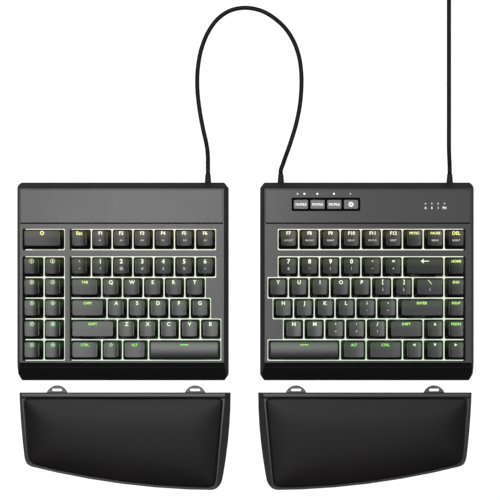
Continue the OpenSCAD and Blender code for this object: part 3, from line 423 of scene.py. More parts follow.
floor_points = np.array([(-1.6, -1.5, 0), (1.6, -1.5, 0), (1.6, 1.7, 0), (-1.6, 1.7, 0)], float)
floor = flat_mesh("floor", floor_points, [(0, 1, 2, 3)])
floor.data.materials.append(floor_material())
print("floor normal", tuple(floor.data.polygons[0].normal))


# %% [markdown]
# ## Moulded plastics
# Injection-moulded parts are never flat colour. The mould has a fine spark-eroded grain, the colour
# drifts slightly, the gloss varies with handling, and every edge is rounded by a few tenths of a
# millimetre, which catches a thin line of light. One function builds them all from these four things.

# %% Moulded plastic
DRIFT_SCALE, GRAIN_SCALE, GLOSS_RANGE = 28.0, 0.62, 0.03


def moulded(name, colour, roughness, grain=0.9, grain_depth=0.05, edge=0.3, drift=0.12, specular=0.5,
            steep=0.0, dull_where=None, lit_by=None):
    """Plastic from a mould. Colour drifts by a share over centimetres, roughness varies with it, the
    grain (mm) makes a bump, and edges are rounded by a radius (mm). Steep faces are rougher by up to
    steep. Dull_where gives 1 where the plastic is dull, and lit_by gives the colour and strength of a
    painted glow, which stands in for the light that reaches it from below."""
    add, place, finish = new_material(name)
    cloud = noise(add, place, DRIFT_SCALE, 3.0)
    speck = noise(add, place, GRAIN_SCALE / (grain * MM), Roughness=0.6)
    dark = tuple(v * (1 - drift) for v in colour[:3]) + (1,)
    light = tuple(min(v * (1 + drift), 1) for v in colour[:3]) + (1,)
    share = calc(add, "MULTIPLY_ADD", cloud, 0.5, calc(add, "MULTIPLY", speck, 0.5))
    tone = ramp(add, share, (0.3, dark), (0.7, light))
    gloss = spread(add, share, 0.3, 0.7, roughness - GLOSS_RANGE, roughness + GLOSS_RANGE)
    if steep:
        gloss = calc(add, "ADD", gloss, spread(add, rise(add), 0.9, 0.35, 0.0, steep))
    if dull_where:
        gloss = calc(add, "MAXIMUM", gloss, dull_where(add, place))
    rounded = add("Bevel", {"samples": 4}, Radius=edge * MM).outputs[0]
    bump = add("Bump", Height=speck, Distance=grain_depth * MM, Strength=1.0, Normal=rounded).outputs[0]
    light_colour, strength = lit_by(add, place) if lit_by else (WHITE, 0.0)
    return finish(add("BsdfPrincipled", Base_Color=tone, Roughness=gloss, Normal=bump,
                      Specular_IOR_Level=specular, Emission_Color=light_colour, Emission_Strength=strength))


def dress(material, *names):
    """Gives a material to CAD nodes or pieces, instead of what they came with."""
    for name in names:
        piece = nodes[name] if isinstance(name, str) else name
        piece.data.materials.clear()
        piece.data.materials.append(material)


def both(name):
    """The names of the left and the right node of a kind."""
    return [f"{side}_{name}" for side in sides]


# %% Places where a plastic gets a painted glow or is dull
GLOW_REAR_Y, GLOW_FRONT_Y, FUNCTION_FROM_Y = 95, -18, 77
# Painted glow on the keycaps: its colour at the rear and the front row, and its level across a row
CAP_GLOW_REAR, CAP_GLOW_FRONT = (0.027, 0.029, 0.010, 1), (0.005, 0.026, 0.005, 1)
CAP_GLOW_STOPS = ((0.45, 0.0), (0.78, 1.0), (0.97, 0.35))
# Painted glow on the walls of the key windows: its colour at the rear and the front row
WALL_GLOW_REAR, WALL_GLOW_FRONT = (0.62, 0.6, 0.42, 1), (0.10, 0.30, 0.12, 1)
WINDOW_Y, WINDOW_BLUR = (-0.0225, 0.1), 0.4 * MM
KEY_WINDOWS = ((-0.202, -0.0198, *WINDOW_Y), (0.0198, 0.2035, *WINDOW_Y))
GROOVE_Z, GROOVE_W = 18, 0.4
RIM_EDGE_Y, RIM_DULL_W, RIM_GLOSSY_FROM = -56.3, 0.9, 1.6


def in_blocks(add, place, blocks, blur):
    """1 inside any of some rectangles (x from, x to, y from, y to, in metres) and 0 outside them, over a
    width of blur."""
    x, y = part(add, place, "X"), part(add, place, "Y")
    most = 0.0
    for x_from, x_to, y_from, y_to in blocks:
        inside = []
        for along, low, high in ((x, x_from, x_to), (y, y_from, y_to)):
            off = calc(add, "ABSOLUTE", calc(add, "SUBTRACT", along, (low + high) / 2))
            half = (high - low) / 2
            inside.append(spread(add, off, half + blur / 2, half - blur / 2, kind="SMOOTHSTEP"))
        most = calc(add, "MAXIMUM", calc(add, "MULTIPLY", *inside), most)
    return most


def rear_to_front(add, place, rear, front):
    """A colour that goes evenly from one at the rear key row to another at the front one."""
    share = spread(add, part(add, place, "Y"), GLOW_REAR_Y * MM, GLOW_FRONT_Y * MM)
    return ramp(add, share, (0, rear), (1, front))


def painted_cap_glow(add, place):
    """Painted glow on the caps, which stands in for the lamps' light seen through them: a faint glow in
    the rear part of each row, from olive at the rear row to green at the front one. The place in a row
    is the fraction of y over the pitch, after the function row is moved up to the others by the width of
    the bar."""
    y = part(add, place, "Y")
    is_far = calc(add, "GREATER_THAN", y, FUNCTION_FROM_Y * MM)
    shift = calc(add, "MULTIPLY_ADD", is_far, -ROW_BAR * MM, (PITCH / 2 - ROW_Y[5]) * MM)
    rows = calc(add, "DIVIDE", calc(add, "ADD", y, shift), PITCH * MM)
    stops = [(at, (level, level, level, 1)) for at, level in CAP_GLOW_STOPS]
    band = ramp(add, calc(add, "FRACT", rows), *stops, kind="EASE")
    glow_colour = rear_to_front(add, place, CAP_GLOW_REAR, CAP_GLOW_FRONT)
    glow = add("Mix", {"data_type": "RGBA", "blend_type": "MULTIPLY"}, _0=1.0, _6=band, _7=glow_colour)
    return glow.outputs[2], 1.0


def lit_walls(add, place):
    """Painted glow on the walls of the key windows, which stands in for the light of the plate that they
    catch: it is 0 at the height of the keycaps' rims and grows down to the plate. It only counts at the
    windows, and not at the outer walls."""
    low = spread(add, part(add, place, "Z"), RIM_Z * MM, PLATE_Z * MM)
    level = calc(add, "MULTIPLY", in_blocks(add, place, KEY_WINDOWS, WINDOW_BLUR), low)
    return rear_to_front(add, place, WALL_GLOW_REAR, WALL_GLOW_FRONT), level


def groove_and_sides(add, place):
    """1 at the height of the groove between the rear panel and the deck, and near 1 on the steep side
    walls, whose normals rise by less than 0.3. It is 0 elsewhere."""
    groove = calc(add, "COMPARE", part(add, place, "Z"), GROOVE_Z * MM, GROOVE_W / 2 * MM)
    return calc(add, "MAXIMUM", groove, spread(add, rise(add), 0.4, 0.3, 0.0, 0.95))


def rim_inside(add, place):
    """Near 1 where a palm rest's rear rim meets the cushion, and 0 from 1.6 mm away."""
    off = calc(add, "ABSOLUTE", calc(add, "SUBTRACT", part(add, place, "Y"), RIM_EDGE_Y * MM))
    return spread(add, off, RIM_GLOSSY_FROM * MM, RIM_DULL_W * MM, 0.0, 0.95)


print(len(KEY_WINDOWS), "key windows")

# %% The plastics and what wears them
button_nodes = ["profile_button_1", "profile_button_2", "profile_button_3", "settings_button"]
key_nodes = [n for n in nodes if n.endswith(("_key", "_keys"))]
dress(moulded("case_plastic", srgb(14, 14, 14), 0.27, grain_depth=0.006, edge=0.45, specular=0.43,
              steep=0.38, dull_where=groove_and_sides, lit_by=lit_walls), *both("top_case"))
dress(moulded("panel_plastic", srgb(14, 14, 14), 0.26, grain_depth=0.01, specular=0.43), *both("rear_panel"))
dress(moulded("base_plastic", srgb(14, 14, 15), 0.45, grain=0.7, grain_depth=0.08), *both("bottom_case"))
dress(moulded("key_plastic", srgb(4, 4, 5), 0.26, grain=0.5, grain_depth=0.01, edge=0.55, specular=0.44,
              steep=0.3, lit_by=painted_cap_glow), *key_nodes)
# The space keys are the key plastic made more reflective, a painted highlight that makes up for the dimmer
# front soft box that they mirror
dress(moulded("space_plastic", srgb(4, 4, 5), 0.42, grain=0.5, grain_depth=0.01, edge=0.55, specular=0.85,
              steep=0.3, lit_by=painted_cap_glow), *both("space_key"))
dress(moulded("housing_plastic", srgb(35, 35, 36), 0.45), *both("switch_housings"))
dress(moulded("board_lacquer", srgb(14, 60, 38), 0.3, grain=1.4), *both("circuit_board"))
dress(moulded("boot_rubber", srgb(14, 14, 15), 0.6, specular=0.3),
      *both("bridge_boot"), "usb_boot", "usb_plug_body")
dress(moulded("foot_rubber", srgb(22, 22, 22), 0.8, grain_depth=0.1),
      *both("feet"), *both("palm_feet"), "usb_cable_tie")
# The bezel is darker and far less reflective than the case: partly its own matte black, partly a painted
# shade for the recess round the buttons
dress(moulded("bezel_plastic", srgb(6, 6, 6), 0.9, edge=0.1, specular=0.05), "button_bezel")
dress(moulded("button_plastic", srgb(88, 88, 90), 0.3, grain=0.4, grain_depth=0.01, edge=0.6), *button_nodes)
dress(moulded("palm_plastic", srgb(18, 17, 18), 0.3, grain_depth=0.02, edge=0.4, specular=0.65,
              steep=0.5, dull_where=rim_inside), *both("palm_base"))
print(len(key_nodes), "groups of keys")

# %% [markdown]
# ## Metals and cable jacket
# The screws and the plug shell are bright metal with a brushed grain. The cable jacket is dull, smooth
# PVC with a fine grain.

# %% Metals and cable jacket
def brushed(name, colour, roughness, stretch):
    """Metal with scratches: a noise stretched along one axis moves both roughness and bump."""
    add, place, finish = new_material(name)
    scratches = noise(add, add("Mapping", Vector=place, Scale=stretch).outputs[0], 1.0, 4.0)
    gloss = spread(add, scratches, 0, 1, roughness - 0.08, roughness + 0.1)
    rounded = add("Bevel", {"samples": 4}, Radius=0.15 * MM).outputs[0]
    bump = add("Bump", Height=scratches, Distance=0.01 * MM, Normal=rounded).outputs[0]
    return finish(add("BsdfPrincipled", Base_Color=colour, Roughness=gloss, Normal=bump, Metallic=1.0))


dress(brushed("zinc_plated_steel", srgb(205, 205, 208), 0.3, (900, 900, 4000)), *both("screws"))
dress(brushed("plug_shell_metal", srgb(215, 215, 220), 0.22, (400, 6000, 6000)), "usb_plug_shell")
dress(moulded("cable_jacket", srgb(8, 8, 9), 0.5, grain=0.35, grain_depth=0.02, edge=0.1, specular=0.17),
      bridge_cable, usb_cable)
print(len(bpy.data.materials), "materials so far")

# %% [markdown]
# ## Backlight
# Lamps on the circuit board light the white switch plates, and the light leaves by the gaps between
# the keys. Its colour runs from a warm white at the rear to green at the front, so the plate's glow
# takes its colour from the distance to the rear, and so do the lit legends.

# %% Glow by distance
def glow_by_row(name, rear, front, strength, dim=0.0, blocks=()):
    """Light whose colour goes evenly from one at the rear key row to another at the front one, by the
    object's own Y, with a slow noise that makes some places dimmer by up to a share. Given blocks, it
    only shines inside them, and the rest is unlit plastic."""
    add, place, finish = new_material(name)
    level = spread(add, noise(add, place, 45.0, 1.0), 0.3, 0.7, strength * (1 - dim), strength)
    if blocks:
        level = calc(add, "MULTIPLY", level, in_blocks(add, place, blocks, 0.5 * MM))
    glow = add("Emission", Color=rear_to_front(add, place, rear, front), Strength=level)
    if blocks:
        plain = add("BsdfDiffuse", Color=srgb(60, 60, 60)).outputs[0]
        glow = add("AddShader", _0=glow.outputs[0], _1=plain)
    return finish(glow)


FRONT_REACH, REAR_REACH, MACRO_INSET, RIGHT_INSET = 0.9, 0.3, 0.8, 0.25


def row_block(x_from, units, rear_row, front_row):
    """Rectangle of the key cells from one row to another, reaching out in front, where the keys show
    most of the plate."""
    return [v * MM for v in (x_from, x_from + units * PITCH, ROW_Y[front_row] - PITCH / 2 - FRONT_REACH,
                             ROW_Y[rear_row] + PITCH / 2 + REAR_REACH)]


macro_cells = [row_block(MACRO_X + MACRO_INSET, 2 - MACRO_INSET / PITCH, *rows)
               for rows in ((0, 0), (1, 5))]
left_cells = [row_block(LEFT_X, *cells)
              for cells in ((7, 0, 0), (7, 1, 1), (6.5, 2, 2), (6.75, 3, 3), (7.25, 4, 5))]
right_cells = [row_block(RIGHT_X - units * PITCH, units - RIGHT_INSET / PITCH, row, row)
               for row, units in enumerate((9, 9, 9.5, 9.25, 8.75, 9.5))]
for side, cells in (("left", macro_cells + left_cells), ("right", right_cells)):
    light = glow_by_row(f"{side}_lit_plate", srgb(252, 251, 233), srgb(230, 247, 226), 1.15, 0.2, cells)
    dress(light, f"{side}_switch_plate")
dress(glow_by_row("lit_stabilizer", srgb(225, 225, 205), srgb(200, 225, 195), 0.6, 0.25),
      *both("stabilizers"))
print(len(macro_cells + left_cells + right_cells), "lit blocks")


# %% Lamps
def lens_material(name, stops):
    """Lamps in a line across the keyboard. Each glows by itself: the strength changes at the given x
    (mm) to the given share of full white, and a noise makes the lens a little uneven."""
    add, place, finish = new_material(name)
    first, last = stops[0][0], stops[-1][0]
    along = spread(add, part(add, place, "X"), first * MM, last * MM)
    colours = [((x - first) / (last - first), (level, level, level * 0.96, 1)) for x, level in stops]
    uneven = spread(add, noise(add, place, 1500.0), 0, 1, 1.4, 2.6)
    return finish(add("Emission", Color=ramp(add, along, *colours, kind="CONSTANT"), Strength=uneven))


lens_stops = ((40, 0.45), (52, 1.0), (61, 0.9), (75, 1.0), (90, 0.3), (190, 0.3))
dress(lens_material("lens_light", lens_stops), "indicator_lenses")
print(len(lens_stops), "steps of light along the lamps")


# %% [markdown]
# ## Palm pads
# A palm pad is foam under black leatherette, drawn down into the groove of its tray. It stands up
# steeply at its edge, rolls over and crowns gently towards the middle. Its outline is what the tray's
# rear rim, its two slanting sides and its swept front leave between them, with the corners rounded.

# %% Outline of a palm pad
SIDE_X = {"left": -209.1125, "right": 211.2125}
PALM_W = {"left": 196.3125, "right": 198.4125}
PALM_Y, PALM_D, PALM_OUTER_D, PALM_BOW = -52.525, 90.1, 66.5, 9.6
PALM_REAR_Z, PALM_FRONT_Z = 9.6, 6.4
REAR_RIM, SIDE_RIM, FRONT_RIM, PAD_GAP = 3.6, 1.3, 2.0, 0.3
OUTER_FLANK, OUTER_TURN, INNER_FLANK, INNER_TURN = 2.8, math.radians(4), 4.8, math.radians(5.2)
PAD_MIDDLE_SHARE, PAD_MIDDLE_Y = 0.505, -39.0
SEAT_DEPTH = 1.5


def front_depth(x, width):
    """Depth of the tray's front edge, 66.5 + 23.6 t (2 - t), at the share t across its front."""
    outer_in = PALM_BOW * (PALM_OUTER_D / PALM_D) ** 2
    t = (x - outer_in) / (width - outer_in - PALM_BOW)
    return PALM_OUTER_D + (PALM_D - PALM_OUTER_D) * t * (2 - t)


def pad_outline(width, count=240, corner=26):
    """Closed line round the pad, in mm from the tray's outer rear corner. From the middle, a ray at each
    angle meets the rear edge, two turned side edges and the curved front edge at distances r1 to r4, and
    the outline is at (r1^-n + r2^-n + r3^-n + r4^-n)^(-1/n), which rounds the corners."""
    middle_x, middle_y = width * PAD_MIDDLE_SHARE, PAD_MIDDLE_Y
    a = np.linspace(0, 2 * np.pi, 4000, endpoint=False)
    ray_x, ray_y = np.cos(a), np.sin(a)
    outer_lean, inner_lean = math.tan(OUTER_TURN), math.tan(INNER_TURN)
    outer = OUTER_FLANK + SIDE_RIM / math.cos(OUTER_TURN) + PAD_GAP
    inner = width - INNER_FLANK - SIDE_RIM / math.cos(INNER_TURN) - PAD_GAP
    with np.errstate(divide="ignore"):
        reach = [(-REAR_RIM - PAD_GAP - middle_y) / ray_y,
                 (middle_x - outer + middle_y * outer_lean) / -(ray_x + ray_y * outer_lean),
                 (inner - middle_x + middle_y * inner_lean) / (ray_x - ray_y * inner_lean)]
    across = np.linspace(-60, width + 90, 600)
    front_x, front_y = across - middle_x, -(front_depth(across, width) - FRONT_RIM - PAD_GAP) - middle_y
    front_angle = np.arctan2(front_y, front_x) + 2 * np.pi
    reach.append(np.interp(a, front_angle, np.hypot(front_x, front_y), left=-1, right=-1))
    nearness = sum(np.where(r > 0, 1 / np.abs(r), 0) ** corner for r in reach)
    r = nearness ** (-1 / corner)
    line = np.stack([middle_x + r * ray_x, middle_y + r * ray_y, 0 * r], -1)
    line = np.vstack([line, line[:1]])
    return evenly(line, path_length(line) / count)[:-1, :2]


outlines = {side: pad_outline(PALM_W[side]) for side in sides}
print({side: (len(line), np.ptp(line, axis=0).round(1).tolist()) for side, line in outlines.items()})


# %% Form of a palm pad
def soft_inset(place, width):
    """Smooth distance to the pad's four edges, (d1^-3 + d2^-3 + d3^-3 + d4^-3)^(-1/3). Its level lines
    turn round the corners without a crease, as stretched leatherette does."""
    x, depth = place[:, 0], -place[:, 1]
    edges = [depth - REAR_RIM, x - OUTER_FLANK - SIDE_RIM - depth * math.tan(OUTER_TURN),
             width - INNER_FLANK - SIDE_RIM - depth * math.tan(INNER_TURN) - x,
             front_depth(x, width) - FRONT_RIM - depth]
    return sum(np.maximum(d, 0.2) ** -3.0 for d in edges) ** (-1 / 3)


def pad_height(edge, inset, roll_w=1.8, roll_h=2.4, crown_w=39, crown_h=4.3):
    """Height over the tray's seat, in mm: an edge roll, which is a quarter ellipse roll_h high over the
    distance e to the outline, and a crown of crown_h (1 - (1 - d / crown_w)^2.4) over the soft inset d."""
    roll = roll_h * np.sqrt(1 - (1 - np.clip(edge / roll_w, 0, 1)) ** 2)
    return roll + crown_h * (1 - (1 - np.clip(inset / crown_w, 0, 1)) ** 2.4)


def palm_pad(side, rings=34):
    """Pad of one palm rest. Rings shrink from the outline to its middle as 1 - w^1.7, each point is
    raised by its true distance to the outline, and the whole lies on the tray's slope. The seat is
    flat, one ring and a pole, 1.5 mm below the rim."""
    outline = outlines[side]
    columns = len(outline)
    middle = outline.mean(0)
    w = np.linspace(0, 1, rings + 1)[:-1]
    shrink = (1 - w**1.7)[:, None, None]
    flat = (middle + (outline - middle) * shrink).reshape(-1, 2)
    edge = np.sqrt(((flat[:, None] - outline[None]) ** 2).sum(-1).min(1))
    edge[:columns] = 0
    top = pad_height(edge, soft_inset(flat, PALM_W[side]))
    pole_top = pad_height(edge[-1:], soft_inset(middle[None], PALM_W[side]))
    xy = np.vstack([flat, middle, outline, middle])
    z = np.concatenate([top, pole_top, np.zeros(columns + 1)]) - SEAT_DEPTH
    slope = (PALM_REAR_Z - PALM_FRONT_Z) / PALM_D
    x = xy[:, 0] if side == "left" else -xy[:, 0]
    points = np.stack([SIDE_X[side] + x, PALM_Y + xy[:, 1], PALM_REAR_Z + slope * xy[:, 1] + z], -1) * MM
    j = np.arange(columns)
    k = (j + 1) % columns
    pole, seat_ring, seat_pole = rings * columns, rings * columns + 1, rings * columns + 1 + columns
    crown_fan = np.stack([pole - columns + j, pole - columns + k, np.full(columns, pole)], -1)
    wall = np.stack([k, j, seat_ring + j, seat_ring + k], -1)
    seat_fan = np.stack([seat_ring + k, seat_ring + j, np.full(columns, seat_pole)], -1)
    faces = [grid_faces(rings, columns, True), crown_fan, wall, seat_fan]
    return smooth_mesh(f"{side}_palm_cushion", points, faces)


def leatherette(name):
    """Black leatherette: cells of a Voronoi pattern for the pressed grain, a noise for its unevenness,
    and slightly glossier raised parts where palms have rubbed."""
    add, place, finish = new_material(name)
    bend = noise(add, place, 700.0, output="Color")
    sway = (0.6 * MM,) * 3
    wavy = add("VectorMath", {"operation": "MULTIPLY_ADD"}, _0=bend, _1=sway, _2=place).outputs[0]
    cells = add("TexVoronoi", {"feature": "DISTANCE_TO_EDGE"}, Vector=wavy, Scale=900.0).outputs["Distance"]
    ridge = spread(add, cells, 0.0, 0.35)
    tone = ramp(add, noise(add, place, 22.0, 3.0), (0.3, srgb(11, 9, 10)), (0.7, srgb(17, 13, 14)))
    bump = add("Bump", Height=ridge, Distance=0.05 * MM, Strength=0.7).outputs[0]
    return finish(add("BsdfPrincipled", Base_Color=tone, Roughness=spread(add, ridge, 0, 1, 0.5, 0.4),
                      Normal=bump, Specular_IOR_Level=0.22))


pad_leather = leatherette("pad_leatherette")
for side in sides:
    cushion = palm_pad(side)
    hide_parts(f"{side}_palm_pad")
    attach(cushion, f"{side}_palm_rest")
    dress(pad_leather, cushion)
    print(cushion.name, len(cushion.data.polygons), "faces")


# %% [markdown]
# ## Legends on the keys
# The letters are clear windows in the keycaps, lit from below. Here each one is a thin solid laid on
# the dished top of its key. The top's height is known: a plane that tilts towards the typist, less a
# shallow cylinder along the key. The space keys are crowned instead, across a cylinder of 24 mm.

# %% Tops of the keys, in millimetres
CAP_H, CAP_GAP, HOME_TILT, ROW_TILT, ROW_RISE = 9.2, 0.95, 2, 3, 0.6
SIDE_LEAN, TOP_Y, DISH, CAP_EDGE, SPACE_CROWN, SPACE_FROM = 2.4, 1.05, 0.5, 0.7, 24, 3


def top_slope(row):
    """The slope of a key's top and its height at the key's middle: rows at the rear stand higher."""
    step = 2 if row < 1 else 3 - row
    slope = math.tan(math.radians(HOME_TILT + ROW_TILT * max(step, -1)))
    return slope, CAP_H + ROW_RISE * max(step, 0) - slope * TOP_Y


def key_surface(x, y, units, row):
    """Height of the top at x, y from the key's centre. It is a plane z0 + slope y, less the depth of
    the dish, sqrt(R^2 - x^2) - (R - 0.5), where R takes the dish to 0.7 mm from the top's sides."""
    slope, z0 = top_slope(row)
    if units >= SPACE_FROM:
        return RIM_Z + z0 + slope * TOP_Y - SPACE_CROWN + np.sqrt(SPACE_CROWN**2 - (y - TOP_Y) ** 2)
    half = (units * PITCH - CAP_GAP) / 2 - SIDE_LEAN - CAP_EDGE
    radius = half**2 / (2 * DISH)
    depth = np.maximum(np.sqrt(np.maximum(radius**2 - x**2, 0)) - (radius - DISH), 0)
    return RIM_Z + z0 + slope * y - depth


def row_keys(left_edge, row, widths, labels):
    """Keys of one row: centre x, centre y, width in key units, row, and what stands on each."""
    ends = left_edge + PITCH * np.cumsum(widths)
    return [(end - PITCH * w / 2, ROW_Y[row], w, row, label) for end, w, label in zip(ends, widths, labels)]


def right_row(row, widths, labels):
    """Keys of a row of the right half, which ends at the right. Keys past the last label are left out."""
    return row_keys(RIGHT_X - PITCH * sum(widths), row, widths, labels)


def single(labels):
    """Labels that each stand alone on a key."""
    return [(label,) for label in labels]


# %% Which legends stand where
macro_labels = ("1", "2", "3", "4", "5", "6", "7", "8", "Fn", "FN")
left_f_labels = single(["Esc"]) + [(f"F{n + 1}", m) for n, m in enumerate(
    ("mute", "softer", "louder", "back", "play", "on"))]
right_f_labels = [(f"F{n + 7}", m) for n, m in enumerate(
    ("LAYOUT", "MACRO", "REMAP", "DELAY", "STATUS", "RESET"))]
right_f_labels += [("PRTSC",), ("PAUSE", "BREAK"), ("DEL", "INSERT")]
legends = {
    "left_macro_bar_key": row_keys(MACRO_X, 0, (2,), single(["ring"])),
    "left_macro_keys": [row_keys(MACRO_X + PITCH * (n % 2), n // 2 + 1, (1,), single(["macro " + t]))[0]
                        for n, t in enumerate(macro_labels)],
    "left_function_keys": row_keys(LEFT_X, 0, (1,) * 7, left_f_labels),
    "left_number_keys": row_keys(LEFT_X, 1, (1,) * 7, list(zip("`123456", "~!@#$%^"))),
    "left_upper_letter_keys": row_keys(LEFT_X, 2, (1.5,) + (1,) * 5, single(["TAB", *"QWERT"])),
    "left_home_letter_keys": row_keys(LEFT_X, 3, (1.75,) + (1,) * 5, single(["CAPS", *"ASDFG"])),
    "left_lower_letter_keys": row_keys(LEFT_X + 2.25 * PITCH, 4, (1,) * 5, single("ZXCVB")),
    "left_shift_key": row_keys(LEFT_X, 4, (2.25,), single(["SHIFT"])),
    "left_bottom_keys": row_keys(LEFT_X, 5, (1.5, 1, 1.25), single(["CTRL", "diamond", "ALT"])),
    "left_space_key": row_keys(LEFT_X + 3.75 * PITCH, 5, (3.5,), single(["dash"])),
    "right_function_keys": right_row(0, (1,) * 9, right_f_labels),
    "right_number_keys": right_row(1, (1,) * 6 + (2, 1), list(zip("7890-=", "&*()_+"))),
    "backspace_key": right_row(1, (2, 1), single(["arrow left long"])),
    "right_upper_letter_keys": right_row(2, (1,) * 7 + (1.5, 1), [
        *single("YUIOP"), ("[", "{"), ("]", "}"), ("\\", "|")]),
    "right_home_letter_keys": right_row(3, (1,) * 6 + (2.25, 1), [*single("HJKL"), (";", ":"), ("'", '"')]),
    "enter_key": right_row(3, (2.25, 1), single(["ENTER"])),
    "right_lower_letter_keys": right_row(4, (1,) * 5 + (1.75, 1, 1), [
        *single("NM"), (",", "<"), (".", ">"), ("/", "?"), ("SHIFT",)]),
    "right_bottom_keys": right_row(5, (1.25, 1.75, 1, 1, 1), single(["ALT", "CTRL"])),
    "right_space_key": right_row(5, (3.5, 1.25, 1.75, 1, 1, 1), single(["dash"])),
    "arrow_keys": right_row(4, (1, 1), single(["arrow up"])) + right_row(
        5, (1, 1, 1), single(["arrow left", "arrow down", "arrow right"])),
    "navigation_keys": [right_row(n + 1, (1,), single([t]))[0] for n, t in enumerate(
        ("HOME", "END", "PGUP", "PGDN"))],
}
print(sum(len(keys) for keys in legends.values()), "keys with legends")

# %% Shapes of the letters and signs
THIN, CAPITAL = 0.05, 0.729


def prism(corners):
    """A flat shape given by its corners, counter-clockwise, as a thin solid on both sides of level 0."""
    c = np.array(corners, float)
    n = len(c)
    j = np.arange(n)
    k = (j + 1) % n
    points = np.vstack([np.hstack([c, np.full((n, 1), z)]) for z in (-THIN, THIN)])
    return points, [j[::-1].tolist(), (j + n).tolist()] + np.stack([j, k, k + n, j + n], -1).tolist()


def joined(*solids):
    """Several solids as one: points are stacked, and face numbers move on by the points before them."""
    starts = np.cumsum([0] + [len(p) for p, _ in solids])
    faces = [[v + start for v in f] for start, (_, fs) in zip(starts, solids) for f in fs]
    return np.vstack([p for p, _ in solids]), faces


def letters(text, height, weight):
    """Text in the built-in typeface, scaled to a capital's height, as a thin solid about its middle."""
    curve = bpy.data.curves.new("letters", "FONT")
    curve.body, curve.offset = text, weight
    curve.extrude, curve.resolution_u = 0.02, 3
    carrier = bpy.data.objects.new("letters", curve)
    mesh = bpy.data.meshes.new_from_object(carrier)
    points = np.empty(len(mesh.vertices) * 3)
    mesh.vertices.foreach_get("co", points)
    points = points.reshape(-1, 3)
    faces = [list(p.vertices) for p in mesh.polygons]
    bpy.data.objects.remove(carrier)
    bpy.data.curves.remove(curve)
    bpy.data.meshes.remove(mesh)
    middle = (points.min(0) + points.max(0)) / 2
    middle[1] = CAPITAL / 2 if text[0].isalnum() else middle[1]
    points = (points - middle) * height / CAPITAL
    points[:, 2] = np.sign(points[:, 2]) * THIN
    return points, faces


def box(x0, y0, x1, y1):
    """A small rectangle."""
    return prism([(x0, y0), (x1, y0), (x1, y1), (x0, y1)])


def ring_sign(r_out, r_in, n=20):
    """A ring as a closed solid: two circles, above and below, joined round."""
    a = np.linspace(0, 2 * np.pi, n, endpoint=False)
    loops = [np.stack([r * np.cos(a), r * np.sin(a), np.full(n, z)], -1)
             for r, z in ((r_out, -THIN), (r_out, THIN), (r_in, THIN), (r_in, -THIN))]
    faces = grid_faces(5, n, True) % (4 * n)
    return np.vstack(loops), faces.tolist()


def arrow(length, head, line):
    """An arrow that points left, from its length, the depth of its head and half the width of its line."""
    h = length / 2
    return prism([(-h, 0), (-h + head, -head * 0.8), (-h + head, -line), (h, -line), (h, line),
                  (-h + head, line), (-h + head, head * 0.8)])


def turned(solid, quarter_turns):
    """A solid turned about its middle by quarter turns, counter-clockwise."""
    points, faces = solid
    c, s = math.cos(quarter_turns * math.pi / 2), math.sin(quarter_turns * math.pi / 2)
    return points @ np.array([[c, s, 0], [-s, c, 0], [0, 0, 1]]), faces


speaker = prism([(-1.4, -0.4), (-0.8, -0.4), (0.0, -1.0), (0.0, 1.0), (-0.8, 0.4), (-1.4, 0.4)])
one_wave = joined(speaker, box(0.4, -0.2, 1.6, 0.2))
to_the_end = joined(prism([(-0.8, -0.8), (0.7, 0), (-0.8, 0.8)]), box(0.9, -0.8, 1.3, 0.8))
pointer = prism([(-1.2, -1.25), (1.3, 0), (-1.2, 1.25)])
hollow_square = joined(box(-1.2, -1.2, 1.2, -0.75), box(-1.2, 0.75, 1.2, 1.2),
                       box(-1.2, -0.75, -0.75, 0.75), box(0.75, -0.75, 1.2, 0.75))
signs = {
    "ring": ring_sign(1.9, 1.0), "disc": ring_sign(2.4, 0.7), "dash": box(-3.7, -0.4, 3.7, 0.4),
    "diamond": turned(hollow_square, 0.5), "arrow left long": arrow(7.5, 2.6, 0.35),
    "arrow right": pointer, "arrow up": turned(pointer, 1), "arrow left": turned(pointer, 2),
    "arrow down": turned(pointer, 3), "\\": prism([(-1.9, 1.9), (1.2, -1.9), (1.9, -1.9), (-1.2, 1.9)]),
    "mute": speaker, "softer": one_wave,
    "louder": joined(one_wave, box(0.8, -0.7, 1.2, -0.2), box(0.8, 0.2, 1.2, 0.7)),
    "back": turned(to_the_end, 2), "play": joined(to_the_end, box(1.6, -0.8, 2.0, 0.8)), "on": to_the_end,
}
for label in macro_labels:
    height = 1.9 if len(label) == 1 else 1.3
    signs[f"macro {label}"] = joined(ring_sign(2.0, 1.6), letters(label, height, 0.06))
known = {}


def sign(label, height, weight=0.03):
    """The solid of a label: a sign by its name, or letters. Each is made once and kept."""
    if (label, height) not in known:
        known[label, height] = signs[label] if label in signs else letters(label, height, weight)
    return known[label, height]


# %% Lay the legends on the keys
LIFT = 0.02
# Distance of a legend from its cap's rear rim: in the front rows, and in the function row
MAIN_DOWN, SECOND_DOWN = (3.6, 3.3), (10.3, 9.9)


def main_height(label, row):
    """Height of a capital on a key, in mm: digits are tallest, and whole words smallest."""
    if label.isdigit():
        return 3.9
    if len(label) == 1:
        return 3.4
    return 3.1 if row == 0 and len(label) < 4 else 2.3


def laid(label, height, key, down):
    """A label on a key: moved to its place, at a distance down from the cap's rear rim, and each point
    raised by the height of the key's top there."""
    x, y, units, row, _ = key
    points, faces = sign(label, height)
    local = points.copy()
    local[:, 1] += (PITCH - CAP_GAP) / 2 - down
    z = key_surface(local[:, 0], local[:, 1], units, row) + points[:, 2] + LIFT
    return np.stack([x + local[:, 0], y + local[:, 1], z], -1), faces


def print_material(name, colour, glow):
    """Dim print that is hardly lit: pale ink with a little of the light behind it."""
    add, place, finish = new_material(name)
    worn = tuple(v * 0.7 for v in colour[:3]) + (1,)
    tone = ramp(add, noise(add, place, 600.0, 3.0), (0.3, worn), (0.6, colour))
    return finish(add("BsdfPrincipled", Base_Color=tone, Roughness=0.5, Emission_Color=tone,
                      Emission_Strength=glow))


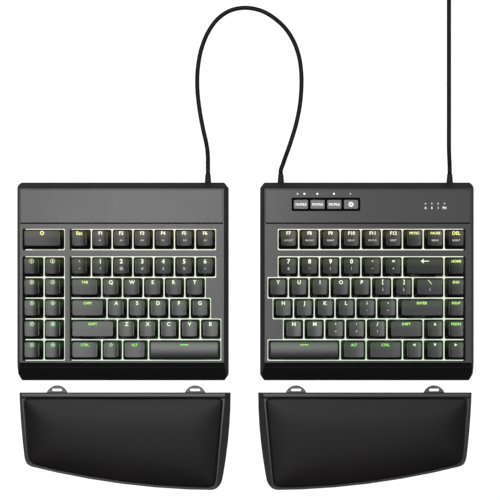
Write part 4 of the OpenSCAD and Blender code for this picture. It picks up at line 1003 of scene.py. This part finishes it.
legend_light = glow_by_row("legend_light", srgb(255, 255, 222), srgb(212, 252, 204), 1.3, dim=0.15)
dim_print = print_material("dim_print", srgb(165, 167, 158), 0.7)
word_light = glow_by_row("word_light", srgb(248, 250, 165), srgb(140, 240, 110), 1.3, dim=0.1)
macro_light = glow_by_row("macro_light", srgb(238, 240, 190), srgb(160, 240, 180), 1.3, dim=0.15)
for name, keys in legends.items():
    groups = {"legends": [], "word_legends": [], "second_legends": []}
    for key in keys:
        row, (main, *second) = key[3], key[4]
        group = "word_legends" if len(main) > 2 and main.isalpha() else "legends"
        groups[group].append(laid(main, main_height(main, row), key, MAIN_DOWN[row == 0]))
        for label in second:
            height = 1.6 if len(label) > 4 else 2.3
            groups["second_legends"].append(laid(label, height, key, SECOND_DOWN[row == 0]))
    single_light = macro_light if name == "left_macro_keys" else legend_light
    for (suffix, solids), material in zip(groups.items(), (single_light, word_light, dim_print)):
        if solids:
            points, faces = joined(*solids)
            piece = flat_mesh(f"{name}_{suffix}", points * MM, faces)
            dress(material, piece)
            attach(piece, name)
print(len(known), "different legends")

# %% Marks on the buttons and at the lock lights
BUTTON_X, BUTTON_PITCH, BUTTON_Y, BUTTON_TOP = 51.85, 15.3, 122.125, 20.4
LOCK_X, LOCK_PITCH, LOCK_MARK_Y = 166.0125, 5.8, 119.0
white_print = print_material("white_print", srgb(215, 215, 215), 0.45)


def flat_mark(name, label, height, x, y, z, body):
    """A mark laid on a level face at x, y, z, in white print, riding on its body."""
    points, faces = sign(label, height, 0.06)
    piece = flat_mesh(name, (points + (x, y, z + LIFT)) * MM, faces)
    dress(white_print, piece)
    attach(piece, body)


for n, (button, label) in enumerate(zip(button_nodes, ("PROFILE",) * 3 + ("disc",))):
    flat_mark(f"{button}_mark", label, 2.0, BUTTON_X + BUTTON_PITCH * n, BUTTON_Y, BUTTON_TOP, button)
for n, label in enumerate(("A", "S", "1", "FN")):
    flat_mark(f"lock_mark_{n + 1}", label, 2.1, LOCK_X + LOCK_PITCH * n, LOCK_MARK_Y, DECK_Z, "right_module")
print("marks on", len(button_nodes), "buttons and at 4 lock lights")
